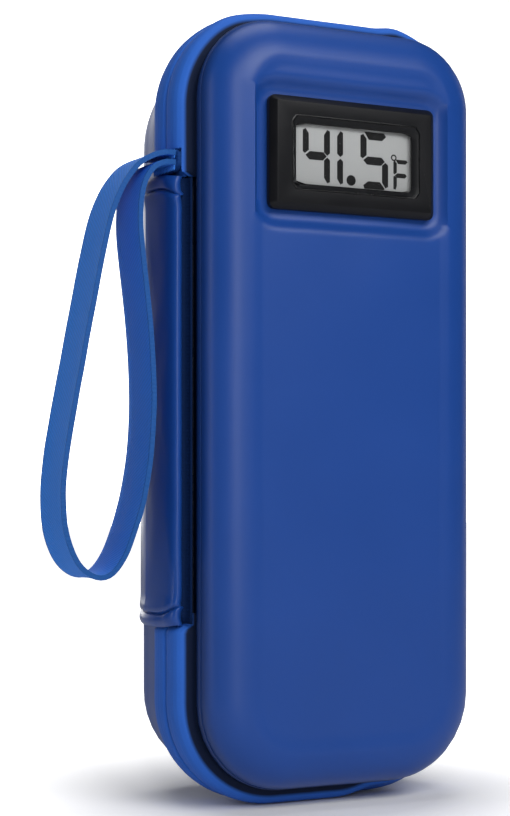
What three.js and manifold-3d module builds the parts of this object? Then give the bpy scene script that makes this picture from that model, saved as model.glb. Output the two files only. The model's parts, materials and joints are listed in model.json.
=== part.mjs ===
// Insulin cooling case: a zipped hard-shell case with a panel thermometer in its lid.
// Millimetres, +Z up, front towards -Y. The case stands on the underside of its zip band.
import * as THREE from 'three';
import { mergeVertices } from 'three/addons/utils/BufferGeometryUtils.js';
import Module from 'manifold-3d';

const wasm = await Module();
wasm.setup();

// Overall sizes of the closed case
const caseWidth = 86.6;
const caseHeight = 205;
const caseCornerRadius = 27.3;
const lidDepth = 21.5;
const baseDepth = 33;
const clearance = 0.3;
const cutOverrun = 1;
const cornerSteps = 9;

// Moulded EVA shells
const shellWall = 2.4;
const shellInset = 3.55;
const shellDraft = 1.2;
const shellRimBack = 4.2;
const rimStep = 0.65;
const lidEdgeRadius = 8;
const baseEdgeRadius = 10;
const edgeSteps = 4;

// Zip tapes: the padded band round the case
const tapeWidth = 7.5;
const tapeThickness = 1.4;
const tapeParting = 1;
const tapeShoulder = 2.2;

// Coil chain sewn behind the tapes
const coilWidth = 2.4;
const coilThickness = 2;
const coilPitch = 3.2;
const coilNose = 0.7;

// Zip sliders, parked head to head on the right side
const sliderLength = 9.5;
const sliderWidth = 7.4;
const sliderPlate = 0.9;
const sliderNeck = 0.4;
const sliderNeckLength = 1.6;
const sliderFlange = 0.6;
const bailWidth = 1.6;
const bailBar = 0.8;
const bailLength = 3.8;
const bailRise = 2.2;
const bailSetback = 0.6;
const bailShoulderShare = 0.6;
const noseShare = 0.92;
const shoulderShare = 0.35;
const tailShare = 0.95;
const pullLength = 12.2;
const pullWidth = 4.2;
const pullThickness = 0.8;
const pullBar = 1;

// Spine cover: the sewn hinge down the left side, and its flap back over the rear shell
const spineBottom = 46.2;
const spineDrop = 44.2;
const hemHeight = 4.2;
const hemRaise = 0.4;
const spineThickness = 1.6;
const spineSteps = 8;
const coverBulge = 1.7;
const coverCrest = 4;
const flapReach = 15.6;
const flapEndThickness = 1.1;
const flapSteps = 5;

// Wrist strap of flat webbing
const strapWidth = 15;
const strapThickness = 1.3;
const anchorHeight = 6.6;
const anchorThickness = 2.2;
const strapReach = 29.7;
const strapDrop = 106.7;
const strapInset = 0.9;

// Insulating linings
const liningThickness = 3;
const liningRim = 0.5;

// Panel thermometer
const moduleDrop = 39.3;
const recessDepth = 2.2;
const recessMargin = 1.4;
const recessSlope = 3;
const flangeWidth = 48;
const flangeHeight = 28.6;
const flangeCorner = 1.8;
const flangeProud = 1.1;
const flangeChamfer = 1.6;
const bodyWidth = 45.2;
const bodyHeight = 26.2;
const bodyWall = 1.4;
const bodyDepth = 12.6;
const windowWidth = 34;
const windowHeight = 15.6;
const windowChamfer = 1.4;
const frontWall = 1.1;
const lensThickness = 0.8;
const glassThickness = 1.8;
const glassMargin = 0.9;
const connectorLength = 34;
const connectorWidth = 2.2;
const connectorHeight = 2.4;
const boardThickness = 1.2;
const cellDiameter = 11.6;
const cellThickness = 5.4;
const backThickness = 1.1;
const coverThickness = 1;
const coverLap = 1.8;
const ribLength = 7;
const earWidth = 9;
const earProud = 1.1;
const earLength = 2.6;
const unitButtonDiameter = 4;
const unitButtonProud = 0.9;
const unitButtonStem = 1.6;

// Temperature probe on its lead
const leadDiameter = 2;
const leadDrop = 34.6;
const probeDiameter = 4.6;
const probeLength = 18;
const probeNoseShare = 0.7;
const probeNoseLengthShare = 0.2;
const probeEndShare = 0.6;
const clipWidth = 6;
const clipWall = 1;
const clipSideShare = 0.45;
const clipTopShare = 0.5;

// Load inside the case
const packWidth = 58;
const packHeight = 82;
const packThickness = 13;
const packCorner = 13;
const packBulge = 1.4;
const dividerThickness = 3;
const loopStrip = 18;
const loopThickness = 1.1;
const loopWidth = 19;
const loopRise = 13;
const loopFoot = 4;
const loopCount = 2;
const loopSteps = 10;
const loopFullness = 0.6;
const upperLoopShare = 0.3;
const lowerLoopShare = 0.5;
const pocketGap = 17;
const pocketThickness = 0.8;
const pocketBinding = 5;

const midHeight = caseHeight / 2;
const halfWidth = caseWidth / 2;
const moduleHeight = caseHeight - moduleDrop;
const spineTop = caseHeight - spineDrop;
const partingHalf = tapeParting / 2;
const bandHalf = partingHalf + tapeWidth;
const shellStart = bandHalf + clearance;
const hingeLine = bandHalf + clearance / 2;
const flangeInset = shellInset + rimStep;
const liningInset = flangeInset + shellWall + clearance;
const baseRest = (partingHalf + bandHalf) / 2;

// Colours of the finishes
const finishes = {
  shell: { color: 0x1f459b, roughness: 0.42, metalness: 0 },
  tape: { color: 0x2d60b4, roughness: 0.8, metalness: 0 },
  webbing: { color: 0x316cbc, roughness: 0.75, metalness: 0 },
  coil: { color: 0x1c3e86, roughness: 0.5, metalness: 0 },
  metal: { color: 0x1d428c, roughness: 0.35, metalness: 0.4 },
  lining: { color: 0xb9bdc2, roughness: 0.35, metalness: 0.5 },
  fabric: { color: 0x26282c, roughness: 0.9, metalness: 0 },
  abs: { color: 0x232528, roughness: 0.4, metalness: 0 },
  clear: { color: 0xdfe6e8, roughness: 0.1, metalness: 0 },
  glass: { color: 0xa9abab, roughness: 0.3, metalness: 0 },
  board: { color: 0x1f6b3a, roughness: 0.5, metalness: 0 },
  rubber: { color: 0x2f3032, roughness: 0.8, metalness: 0 },
  steel: { color: 0xc6c9cc, roughness: 0.25, metalness: 1 },
  gel: { color: 0xd8ecf5, roughness: 0.35, metalness: 0 },
};

// Solids from meshes, for the cuts and joins
function toSolid(geometry) {
  const bare = geometry.clone();
  bare.deleteAttribute('normal');
  bare.deleteAttribute('uv');
  const merged = mergeVertices(bare, 1e-4);
  const vertProperties = new Float32Array(merged.attributes.position.array);
  const triVerts = new Uint32Array(merged.index.array);
  return new wasm.Manifold(new wasm.Mesh({ numProp: 3, vertProperties, triVerts }));
}

function toGeometry(solid) {
  const mesh = solid.getMesh();
  const geometry = new THREE.BufferGeometry();
  geometry.setAttribute('position', new THREE.BufferAttribute(mesh.vertProperties.slice(), 3));
  geometry.setIndex(new THREE.BufferAttribute(mesh.triVerts.slice(), 1));
  return geometry;
}

function cut(base, ...tools) {
  return toGeometry(tools.reduce((solid, tool) => solid.subtract(toSolid(tool)), toSolid(base)));
}

function join(...pieces) {
  const [first, ...others] = pieces.map(toSolid);
  return toGeometry(others.reduce((solid, other) => solid.add(other), first));
}

// Rings of points joined into one closed body, with flat caps or closed on itself
function loft(rings, closed = false) {
  const count = rings[0].length;
  const positions = rings.flat().flatMap((point) => [point.x, point.y, point.z]);
  const index = [];
  const spans = closed ? rings.length : rings.length - 1;
  for (let ring = 0; ring < spans; ring++) {
    const next = (ring + 1) % rings.length;
    for (let side = 0; side < count; side++) {
      const after = (side + 1) % count;
      const corners = [ring * count + side, ring * count + after, next * count + after, next * count + side];
      index.push(corners[0], corners[1], corners[2], corners[0], corners[2], corners[3]);
    }
  }
  if (!closed) {
    capRing(rings[0]).forEach(([a, b, c]) => index.push(a, c, b));
    const last = (rings.length - 1) * count;
    capRing(rings[rings.length - 1]).forEach(([a, b, c]) => index.push(last + a, last + b, last + c));
  }
  const geometry = new THREE.BufferGeometry();
  geometry.setAttribute('position', new THREE.Float32BufferAttribute(positions, 3));
  geometry.setIndex(index);
  return faceOutwards(geometry);
}

// Triangles of one flat ring, in the ring's own turning direction
function capRing(ring) {
  const normal = new THREE.Vector3();
  ring.forEach((point, i) => normal.add(point.clone().cross(ring[(i + 1) % ring.length])));
  normal.normalize();
  const across = ring[1].clone().sub(ring[0]).normalize();
  const up = normal.clone().cross(across);
  const flat = ring.map((point) => new THREE.Vector2(point.dot(across), point.dot(up)));
  return THREE.ShapeUtils.triangulateShape(flat, []);
}

function faceOutwards(geometry) {
  const { array } = geometry.attributes.position;
  const index = geometry.index.array;
  let volume = 0;
  const corner = (i) => new THREE.Vector3().fromArray(array, 3 * index[i]);
  for (let i = 0; i < index.length; i += 3) {
    volume += corner(i).dot(corner(i + 1).cross(corner(i + 2)));
  }
  if (volume < 0) {
    for (let i = 0; i < index.length; i += 3) {
      [index[i + 1], index[i + 2]] = [index[i + 2], index[i + 1]];
    }
  }
  return geometry;
}

// The rounded outline of the case seen from the front, at one depth and inset from the band
function outlineRing(inset, y) {
  const radius = Math.max(caseCornerRadius - inset, clearance);
  const centreX = halfWidth - inset - radius;
  const centreZ = midHeight - inset - radius;
  return roundedRing(centreX, centreZ, radius, cornerSteps, y, midHeight);
}

function roundedRing(centreX, centreZ, radius, steps, y, height) {
  const ring = [];
  [[1, 1], [-1, 1], [-1, -1], [1, -1]].forEach(([sideX, sideZ], corner) => {
    for (let step = 0; step <= steps; step++) {
      const angle = (corner + step / steps) * Math.PI / 2;
      const x = sideX * centreX + radius * Math.cos(angle);
      const z = height + sideZ * centreZ + radius * Math.sin(angle);
      ring.push(new THREE.Vector3(x, y, z));
    }
  });
  return ring;
}

// A rounded block across Y, with a ring for each [depth, inset] given
function roundedBlock(width, height, radius, centre, levels, steps = 4) {
  const rings = levels.map(([y, inset]) => {
    const corner = Math.max(radius - inset, clearance / 2);
    const centreX = width / 2 - inset - corner;
    const centreZ = height / 2 - inset - corner;
    return roundedRing(centreX, centreZ, corner, steps, centre.y + y, centre.z).map(
      (point) => point.setX(point.x + centre.x));
  });
  return loft(rings);
}

// The side of a shell as [depth, inset] pairs: from the rim down the draft and round the edge
function shellSide(start, depth, inset, draft, edge) {
  const levels = [[start, inset]];
  for (let step = 0; step <= edgeSteps; step++) {
    const angle = step / edgeSteps * Math.PI / 2;
    levels.push([depth - edge * (1 - Math.sin(angle)), inset + draft + edge * (1 - Math.cos(angle))]);
  }
  return levels;
}

// A moulded half shell with its stepped rim, open towards the other half
function halfShell(side, depth, edge) {
  const outside = shellSide(shellStart, depth, shellInset, shellDraft, edge);
  const inner = shellSide(shellRimBack, depth - shellWall, flangeInset + shellWall,
    shellDraft - rimStep, edge - shellWall);
  const levels = [...outside.reverse(), [shellStart, flangeInset], [shellRimBack, flangeInset], ...inner];
  return loft(levels.map(([y, inset]) => outlineRing(inset, side * y)));
}

function halfLining(side, depth, edge) {
  const outer = depth - shellWall - clearance;
  const outside = shellSide(liningRim, outer, liningInset, shellDraft - rimStep, edge - shellWall);
  const inside = shellSide(liningRim, outer - liningThickness, liningInset + liningThickness,
    shellDraft - rimStep, edge - shellWall - liningThickness);
  const levels = [...outside.reverse(), ...inside];
  return loft(levels.map(([y, inset]) => outlineRing(inset, side * y)));
}

// Stations on the band's outline, from the top of the spine round the front to its bottom
function bandStations(top, bottom, straightStep) {
  const run = (from, to, normal) => {
    const length = from.distanceTo(to);
    const count = straightStep ? Math.max(1, Math.round(length / straightStep)) : 1;
    return Array.from({ length: count + 1 }, (_, i) => ({ at: from.clone().lerp(to, i / count), normal }));
  };
  const arc = (x, z, from) => {
    const length = caseCornerRadius * Math.PI / 2;
    const count = straightStep ? Math.round(length / straightStep) : cornerSteps;
    return Array.from({ length: count - 1 }, (_, i) => {
      const angle = from - (i + 1) / count * Math.PI / 2;
      const out = new THREE.Vector2(Math.cos(angle), Math.sin(angle));
      const at = new THREE.Vector2(x, z).addScaledVector(out, caseCornerRadius);
      return { at, normal: out.negate() };
    });
  };
  const point = (x, z) => new THREE.Vector2(x, z);
  const sideX = halfWidth - caseCornerRadius;
  const low = caseCornerRadius;
  const high = caseHeight - caseCornerRadius;
  return [
    ...run(point(-halfWidth, top), point(-halfWidth, high), point(1, 0)),
    ...arc(-sideX, high, Math.PI),
    ...run(point(-sideX, caseHeight), point(sideX, caseHeight), point(0, -1)),
    ...arc(sideX, high, Math.PI / 2),
    ...run(point(halfWidth, high), point(halfWidth, low), point(-1, 0)),
    ...arc(sideX, low, 0),
    ...run(point(sideX, 0), point(-sideX, 0), point(0, 1)),
    ...arc(-sideX, low, -Math.PI / 2),
    ...run(point(-halfWidth, low), point(-halfWidth, bottom), point(1, 0)),
  ];
}

// A section of [inset, y] points swept along stations of the band
function sweepBand(stations, sectionAt) {
  return loft(stations.map(({ at, normal }, i) => sectionAt(i).map(([inset, y]) => new THREE.Vector3(
    at.x + inset * normal.x, y, at.y + inset * normal.y))));
}

const tapeTop = spineTop + anchorHeight + 2 * clearance;
const tapeBottom = spineBottom - clearance;

function zipTape(side) {
  const footInner = flangeInset - clearance;
  const section = [
    [0, partingHalf], [0, bandHalf - tapeShoulder], [tapeShoulder / 4, bandHalf - tapeShoulder / 3],
    [tapeShoulder, bandHalf], [footInner, bandHalf], [footInner, bandHalf - tapeThickness],
    [tapeShoulder, bandHalf - tapeThickness], [tapeThickness, bandHalf - tapeShoulder - tapeThickness / 2],
    [tapeThickness, partingHalf],
  ].map(([inset, y]) => [inset, side * y]);
  return sweepBand(bandStations(tapeTop, tapeBottom), () => section);
}

const coilInset = tapeThickness + clearance;
const coilRoot = partingHalf + coilWidth;

// One side of the coil chain, whose noses step in and out along its length
function zipCoil(side, stations) {
  return sweepBand(stations, (i) => {
    const nose = partingHalf + (i % 2 === (side > 0 ? 0 : 1) ? 0 : coilNose);
    return [
      [coilInset, side * nose], [coilInset, side * coilRoot],
      [coilInset + coilThickness, side * coilRoot], [coilInset + coilThickness, side * nose],
    ];
  });
}

const meetHeight = midHeight;
const parkedReach = sliderLength + 2 * clearance;
const coilStations = bandStations(tapeTop, tapeBottom, coilPitch / 2);
const onRightSide = ({ at, normal }) => normal.x === -1 && at.x > 0;
const parked = (station) => onRightSide(station) && Math.abs(station.at.y - meetHeight) < parkedReach;
const firstParked = coilStations.findIndex(parked);
const lastParked = coilStations.findLastIndex(parked);

// Extrusions of a drawn shape: along X its drawing lies in Y and Z, along Y in Z and X, along Z in X and Y
function extrudeAlong(axis, shape, from, depth, curveSegments = 6) {
  const geometry = new THREE.ExtrudeGeometry(shape, { depth, bevelEnabled: false, curveSegments });
  geometry.translate(0, 0, from);
  const [x, y, z] = [new THREE.Vector3(1, 0, 0), new THREE.Vector3(0, 1, 0), new THREE.Vector3(0, 0, 1)];
  const bases = { x: [y, z, x], y: [z, x, y], z: [x, y, z] };
  return geometry.applyMatrix4(new THREE.Matrix4().makeBasis(...bases[axis]));
}

function polygon(points) {
  return new THREE.Shape(points.map(([x, y]) => new THREE.Vector2(x, y)));
}

function box(width, depth, height, centre) {
  return new THREE.BoxGeometry(width, depth, height).translate(centre.x, centre.y, centre.z);
}

const sliderInnerFace = -(coilInset + coilThickness + clearance);
const sliderOuterFace = clearance + sliderPlate;
const bailCentre = sliderLength - bailLength / 2 - bailSetback;
const pullPivot = sliderOuterFace + (bailRise - bailBar) / 2;

// A slider in its own frame: X outwards from the band, Z from its nose to its tail
function zipSlider() {
  const half = sliderWidth / 2;
  const shoulder = sliderLength * shoulderShare;
  const plan = polygon([
    [-half * noseShare, 0], [half * noseShare, 0], [half, shoulder], [half * tailShare, sliderLength],
    [-half * tailShare, sliderLength], [-half, shoulder],
  ]);
  const flangeTop = -(tapeThickness + clearance);
  const outer = extrudeAlong('x', plan, clearance, sliderPlate);
  const wingsFoot = sliderInnerFace - sliderPlate;
  const wings = extrudeAlong('x', plan, wingsFoot, flangeTop - wingsFoot);
  const channelHeight = flangeTop - sliderInnerFace + cutOverrun;
  const channel = box(channelHeight, 2 * (coilRoot + clearance), sliderLength + 2 * cutOverrun,
    new THREE.Vector3(sliderInnerFace + channelHeight / 2, 0, sliderLength / 2));
  const neckFoot = sliderInnerFace - sliderPlate / 2;
  const neckHeight = sliderOuterFace - sliderPlate / 2 - neckFoot;
  const neck = box(neckHeight, sliderNeck, sliderNeckLength,
    new THREE.Vector3(neckFoot + neckHeight / 2, 0, sliderNeckLength / 2));
  return join(outer, cut(wings, channel), neck, sliderBail());
}

// The low arch on the slider that holds its pull
function sliderBail() {
  const sunk = sliderPlate / 2;
  const arch = (half, rise, foot) => polygon([
    [-half, foot], [-half, rise * bailShoulderShare], [-half * bailShoulderShare, rise],
    [half * bailShoulderShare, rise], [half, rise * bailShoulderShare], [half, foot],
  ]);
  const outside = extrudeAlong('y', arch(bailLength / 2, bailRise, -sunk), -bailWidth / 2, bailWidth);
  const inside = extrudeAlong('y', arch(bailLength / 2 - bailBar, bailRise - bailBar, 0),
    -bailWidth / 2 - cutOverrun, bailWidth + 2 * cutOverrun);
  return cut(outside, inside).translate(sliderOuterFace, 0, bailCentre);
}

// The pull hangs from its cross bar under the bail; its eye leaves room for the arch
function sliderPull() {
  const half = pullWidth / 2;
  const eyeHalf = bailWidth / 2 + clearance;
  const eyeBottom = -(bailLength / 2 + cutOverrun);
  const shape = polygon([
    [-half, pullBar / 2], [-half, -pullLength + half / 2], [-half / 2, -pullLength], [half / 2, -pullLength],
    [half, -pullLength + half / 2], [half, pullBar / 2],
  ]);
  shape.holes.push(new THREE.Path([
    [-eyeHalf, -pullBar / 2], [eyeHalf, -pullBar / 2], [eyeHalf, eyeBottom], [-eyeHalf, eyeBottom],
  ].map(([y, z]) => new THREE.Vector2(y, z))));
  return extrudeAlong('x', shape, -pullThickness / 2, pullThickness);
}

// How far out from the middle the spine cover stands, at one depth: it bulges over the band from the
// lid's crevice to its crest, and falls from there to the rear shell
const coverFront = -bandHalf + clearance / 2;
const coverEnd = shellStart + flapReach;
const coverEdge = halfWidth - shellInset;

function coverReach(y, rise, endReach) {
  if (y < coverCrest) {
    const share = (coverCrest - y) / (coverCrest - coverFront);
    return coverEdge + rise * Math.sqrt(Math.max(1 - share * share, 0));
  }
  const share = (y - coverCrest) / (coverEnd - coverCrest);
  return coverEdge + rise - (coverEdge + rise - endReach) * share * share;
}

// A strip of the cover through the depths given, with a raised hem at each end
function coverStrip(depths) {
  const wallReach = coverEdge - shellDraft;
  const outerEnd = wallReach + clearance + flapEndThickness;
  const fullRise = shellInset + coverBulge;
  const section = (raise, z) => {
    const outside = depths.map((y) => new THREE.Vector3(
      -coverReach(y, fullRise + raise, outerEnd + raise) - clearance, y, z));
    const inside = depths.map((y) => new THREE.Vector3(
      -coverReach(y, fullRise - spineThickness, wallReach + clearance), y, z));
    return [...outside, ...inside.reverse()];
  };
  const levels = [
    [spineBottom, hemRaise], [spineBottom + hemHeight, hemRaise], [spineBottom + hemHeight + hemRaise, 0],
    [spineTop - hemHeight - hemRaise, 0], [spineTop - hemHeight, hemRaise], [spineTop, hemRaise],
  ];
  return loft(levels.map(([z, raise]) => section(raise, z)));
}

function spinePanel() {
  const depths = Array.from({ length: spineSteps }, (_, step) => (
    coverCrest - (coverCrest - coverFront) * Math.cos(step / (spineSteps - 1) * Math.PI / 2)));
  return coverStrip([...depths, -coverFront]);
}

function spineFlap() {
  const start = shellStart + clearance / 2;
  return coverStrip(Array.from({ length: flapSteps + 1 }, (_, step) => (
    start + (coverEnd - start) * step / flapSteps)));
}

const anchorBottom = spineTop + clearance;
const strapEnd = halfWidth + clearance;

// The stitched root of the strap, between the spine's top hem and the ends of the tapes
function strapAnchor() {
  const outside = -halfWidth;
  return box(anchorThickness, strapWidth, anchorHeight,
    new THREE.Vector3(outside + anchorThickness / 2, 0, anchorBottom + anchorHeight / 2));
}

// The strap's route from its upper end to its lower one, in shares of its reach out and of its drop
const strapTop = anchorBottom + anchorHeight - strapInset;
const strapRouteShares = [
  [0, 0], [0.114, 0.001], [0.232, 0.011], [0.35, 0.039], [0.465, 0.092], [0.562, 0.162], [0.64, 0.251],
  [0.727, 0.373], [0.818, 0.504], [0.902, 0.626], [0.966, 0.734], [0.99, 0.823], [0.963, 0.903],
  [0.869, 0.967], [0.727, 1], [0.586, 0.998], [0.465, 0.96], [0.37, 0.898], [0.283, 0.818],
  [0.219, 0.71], [0.195, 0.579], [0.226, 0.42], [0.279, 0.261], [0.293, 0.167], [0.259, 0.097],
  [0.168, 0.055], [0.047, 0.043], [0, 0.042],
];

function wristStrap() {
  const curve = new THREE.CatmullRomCurve3(
    strapRouteShares.map(([out, down]) => new THREE.Vector3(
      -strapEnd - out * strapReach, 0, strapTop - down * strapDrop)), false, 'centripetal');
  const steps = 2 * strapRouteShares.length;
  const points = curve.getPoints(steps);
  const sides = points.map((point, i) => {
    const ahead = points[Math.min(i + 1, steps)].clone().sub(points[Math.max(i - 1, 0)]).normalize();
    if (i === 0 || i === steps) ahead.set(Math.sign(ahead.x), 0, 0);
    return new THREE.Vector3(-ahead.z, 0, ahead.x).multiplyScalar(strapThickness / 2);
  });
  const outline = [
    ...points.map((point, i) => point.clone().add(sides[i])),
    ...points.map((point, i) => point.clone().sub(sides[i])).reverse(),
  ];
  const half = strapWidth / 2;
  return loft([-half, half].map((y) => outline.map((point) => point.clone().setY(y))));
}

// Depths in the lid and the thermometer, measured back from the front
const recessFloor = -(lidDepth - recessDepth);
const flangeBack = recessFloor - clearance;
const flangeFront = -(lidDepth + flangeProud);
const bodyBack = flangeBack + bodyDepth;
const shellInside = recessFloor + shellWall;
const moduleCentre = new THREE.Vector3(0, 0, moduleHeight);
const recessWidth = flangeWidth + 2 * (recessMargin + recessSlope);
const recessHeight = flangeHeight + 2 * (recessMargin + recessSlope);
const recessCorner = flangeCorner + recessMargin + recessSlope;

function frontShell() {
  const wall = -(lidDepth - shellWall);
  const boss = roundedBlock(recessWidth, recessHeight, recessCorner, moduleCentre,
    [[wall - shellWall / 2, 0], [wall, 0], [shellInside, recessSlope]]);
  const recess = roundedBlock(recessWidth, recessHeight, recessCorner, moduleCentre,
    [[-lidDepth - cutOverrun, 0], [-lidDepth, 0], [recessFloor, recessSlope]]);
  const opening = box(bodyWidth + 2 * clearance, lidDepth, bodyHeight + 2 * clearance,
    moduleCentre.clone().setY(-lidDepth));
  return cut(join(halfShell(-1, lidDepth, lidEdgeRadius), boss), recess, opening);
}

function frontLining() {
  const opening = box(recessWidth + 2 * clearance, lidDepth, recessHeight + 2 * clearance,
    moduleCentre.clone().setY(-lidDepth));
  return cut(halfLining(-1, lidDepth, lidEdgeRadius), opening);
}

const pocketWidth = bodyWidth - 2 * bodyWall;
const pocketTall = bodyHeight - 2 * bodyWall;
const windowBack = flangeFront + frontWall;

// Bezel and body of the thermometer in one moulding, with a snap ear on each side
function moduleHousing() {
  const bezel = roundedBlock(flangeWidth, flangeHeight, flangeCorner, moduleCentre,
    [[flangeBack, 0], [flangeFront + flangeChamfer, 0], [flangeFront, flangeChamfer]]);
  const bodyLength = bodyBack - windowBack;
  const body = box(bodyWidth, bodyLength, bodyHeight,
    moduleCentre.clone().setY(windowBack + bodyLength / 2));
  const hollow = box(pocketWidth, bodyLength + cutOverrun, pocketTall,
    moduleCentre.clone().setY(windowBack + (bodyLength + cutOverrun) / 2));
  const mouth = 2 * windowChamfer;
  const window = roundedBlock(windowWidth + mouth, windowHeight + mouth, windowChamfer + flangeCorner,
    moduleCentre, [[flangeFront - cutOverrun, 0], [flangeFront, 0], [windowBack, windowChamfer],
      [windowBack + cutOverrun, windowChamfer]]);
  const leadHole = new THREE.CylinderGeometry(leadDiameter / 2 + clearance, leadDiameter / 2 + clearance,
    3 * bodyWall, 12).rotateX(Math.PI / 2).translate(leadExit.x, leadExit.y, leadExit.z + bodyWall / 2);
  return cut(join(bezel, body, snapEar(1), snapEar(-1)), hollow, window, leadHole);
}

function snapEar(side) {
  const start = shellInside + clearance;
  const wall = bodyWidth / 2;
  const wedge = polygon([
    [side * (wall - bodyWall / 2), start], [side * (wall + earProud), start],
    [side * wall, start + earLength], [side * (wall - bodyWall / 2), start + earLength],
  ]);
  return extrudeAlong('z', wedge, moduleHeight - earWidth / 2, earWidth);
}

// Flat pieces stacked in the body, each a clearance behind the one before
const lensFront = windowBack + clearance;
const glassFront = lensFront + lensThickness + clearance;
const connectorFront = glassFront + glassThickness + clearance;
const boardFront = connectorFront + connectorHeight + clearance;
const cellFront = boardFront + boardThickness + clearance;
const backFront = cellFront + cellThickness + clearance;
const doorFront = bodyBack + clearance;

function flatPiece(front, thickness, margin, centre = moduleCentre) {
  return roundedBlock(pocketWidth - 2 * margin, pocketTall - 2 * margin, flangeCorner, centre,
    [[front, 0], [front + thickness, 0]], 2);
}

function buttonCell(side) {
  const radius = cellDiameter / 2;
  const step = cellThickness / 6;
  const profile = [
    [0, 0], [radius, 0], [radius, cellThickness - 2 * step], [radius - step, cellThickness - step],
    [radius - step, cellThickness], [0, cellThickness],
  ].map(([x, y]) => new THREE.Vector2(x, y));
  return new THREE.LatheGeometry(profile, 24).translate(side * cellCentre, cellFront, moduleHeight);
}

const cellCentre = cellDiameter / 2 + clearance;
const bayWidth = 4 * cellCentre;
const bayHeight = cellDiameter + 2 * clearance;
const unitButtonCentre = new THREE.Vector3((pocketWidth + bayWidth) / 4, 0, moduleHeight);

function moduleBack() {
  const bay = box(bayWidth, 4 * backThickness, bayHeight, moduleCentre.clone().setY(backFront));
  const hole = roundPin(unitButtonDiameter / 2 + clearance, backFront - cutOverrun,
    backThickness + 2 * cutOverrun, unitButtonCentre);
  return cut(flatPiece(backFront, bodyBack - backFront, clearance), bay, hole);
}

function roundPin(radius, front, length, centre, sides = 24) {
  return new THREE.CylinderGeometry(radius, radius, length, sides)
    .translate(centre.x, front + length / 2, centre.z);
}

function unitButton() {
  const front = boardFront + boardThickness + unitButtonProud;
  const capLength = bodyBack + unitButtonProud - backFront;
  const cap = roundPin(unitButtonDiameter / 2, backFront, capLength, unitButtonCentre);
  const stemLength = backFront - front + backThickness / 2;
  const stem = roundPin(unitButtonStem / 2, front, stemLength, unitButtonCentre, 12);
  return join(cap, stem);
}

// The battery door laps the bay all round, with a grip rib at its sliding edge
function batteryCover() {
  const plate = roundedBlock(bayWidth + 2 * coverLap, bayHeight + 2 * coverLap, coverLap, moduleCentre,
    [[doorFront, 0], [doorFront + coverThickness, 0]], 3);
  const rib = box(coverThickness, 2 * coverThickness, ribLength, new THREE.Vector3(
    -bayWidth / 2 + coverLap, doorFront + coverThickness, moduleHeight));
  return join(plate, rib);
}

// The probe's lead leaves the body's underside and lies down the lining to the probe
const lidFloor = -(lidDepth - shellWall - clearance - liningThickness);
const leadExit = new THREE.Vector3(-bodyWidth / 3, bodyBack - bodyDepth / 3, moduleHeight - bodyHeight / 2);
const probeDepth = lidFloor + clearance + probeDiameter / 2;
const probeTop = leadExit.z - leadDrop;
const leadRoute = [
  [0, 0, -clearance], [0, 0, -3], [0, -0.4, -7], [0.6, -1, -12], [1.6, -1.3, -17], [2, -1.3, -22],
  [1.6, -1.3, -28],
];

function probeLead() {
  const start = leadExit.clone();
  const end = new THREE.Vector3(leadExit.x, probeDepth, probeTop + clearance);
  const points = leadRoute.map(([x, y, z]) => start.clone().add(new THREE.Vector3(x, y, z)));
  const path = new THREE.CatmullRomCurve3([...points, end.clone().setZ(end.z + probeDiameter / 2), end]);
  const circle = new THREE.Shape().absarc(0, 0, leadDiameter / 2, 0, 2 * Math.PI);
  return new THREE.ExtrudeGeometry(circle, {
    extrudePath: path, steps: 20, curveSegments: 4, bevelEnabled: false,
  });
}

function probeTip() {
  const radius = probeDiameter / 2;
  const profile = [[0, 0], [radius * probeNoseShare, radius * probeNoseLengthShare], [radius, radius],
    [radius, probeLength - radius / 2], [radius * probeEndShare, probeLength], [0, probeLength],
  ].map(([x, y]) => new THREE.Vector2(x, y));
  return new THREE.LatheGeometry(profile, 16).rotateX(Math.PI / 2)
    .translate(leadExit.x, probeDepth, probeTop - probeLength);
}

// The bridge of elastic that holds the probe to the lining
function probeClip() {
  const inner = probeDiameter / 2 + clearance;
  const outer = inner + clipWall;
  const floor = lidFloor + clearance;
  const top = probeDepth + outer;
  const shape = polygon([
    [-outer - clipWidth / 2, floor], [-inner, floor], [-inner, probeDepth + inner * clipSideShare],
    [-inner * clipTopShare, probeDepth + inner], [inner * clipTopShare, probeDepth + inner],
    [inner, probeDepth + inner * clipSideShare], [inner, floor], [outer + clipWidth / 2, floor],
    [outer + clipWidth / 2, floor + clipWall], [outer, floor + clipWall],
    [outer, probeDepth + outer * clipSideShare], [outer * clipTopShare, top], [-outer * clipTopShare, top],
    [-outer, probeDepth + outer * clipSideShare], [-outer, floor + clipWall],
    [-outer - clipWidth / 2, floor + clipWall],
  ]);
  const height = probeTop - (probeLength + clipWidth) / 2;
  return extrudeAlong('z', shape, height, clipWidth).translate(leadExit.x, 0, 0);
}

// What lies in the deep half: two gel packs under a divider that carries the pen loops
const baseFloor = baseDepth - shellWall - clearance - liningThickness;
const packBack = baseFloor - clearance;
const packFront = packBack - packThickness;
const dividerBack = packFront - 2 * clearance;
const dividerFront = dividerBack - dividerThickness;
const dividerInset = liningInset + liningThickness + 2 * clearance;

function icePack(side) {
  const centre = new THREE.Vector3(0, 0, midHeight + side * (packHeight / 2 + packBulge));
  return roundedBlock(packWidth, packHeight, packCorner, centre, [
    [packFront, packBulge * 2], [packFront + packBulge, packBulge / 2], [packFront + packBulge * 2, 0],
    [packBack - packBulge * 2, 0], [packBack - packBulge, packBulge], [packBack, packBulge * 3],
  ], 5);
}

function dividerPad() {
  return loft([outlineRing(dividerInset, dividerFront), outlineRing(dividerInset, dividerBack)]);
}

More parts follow.
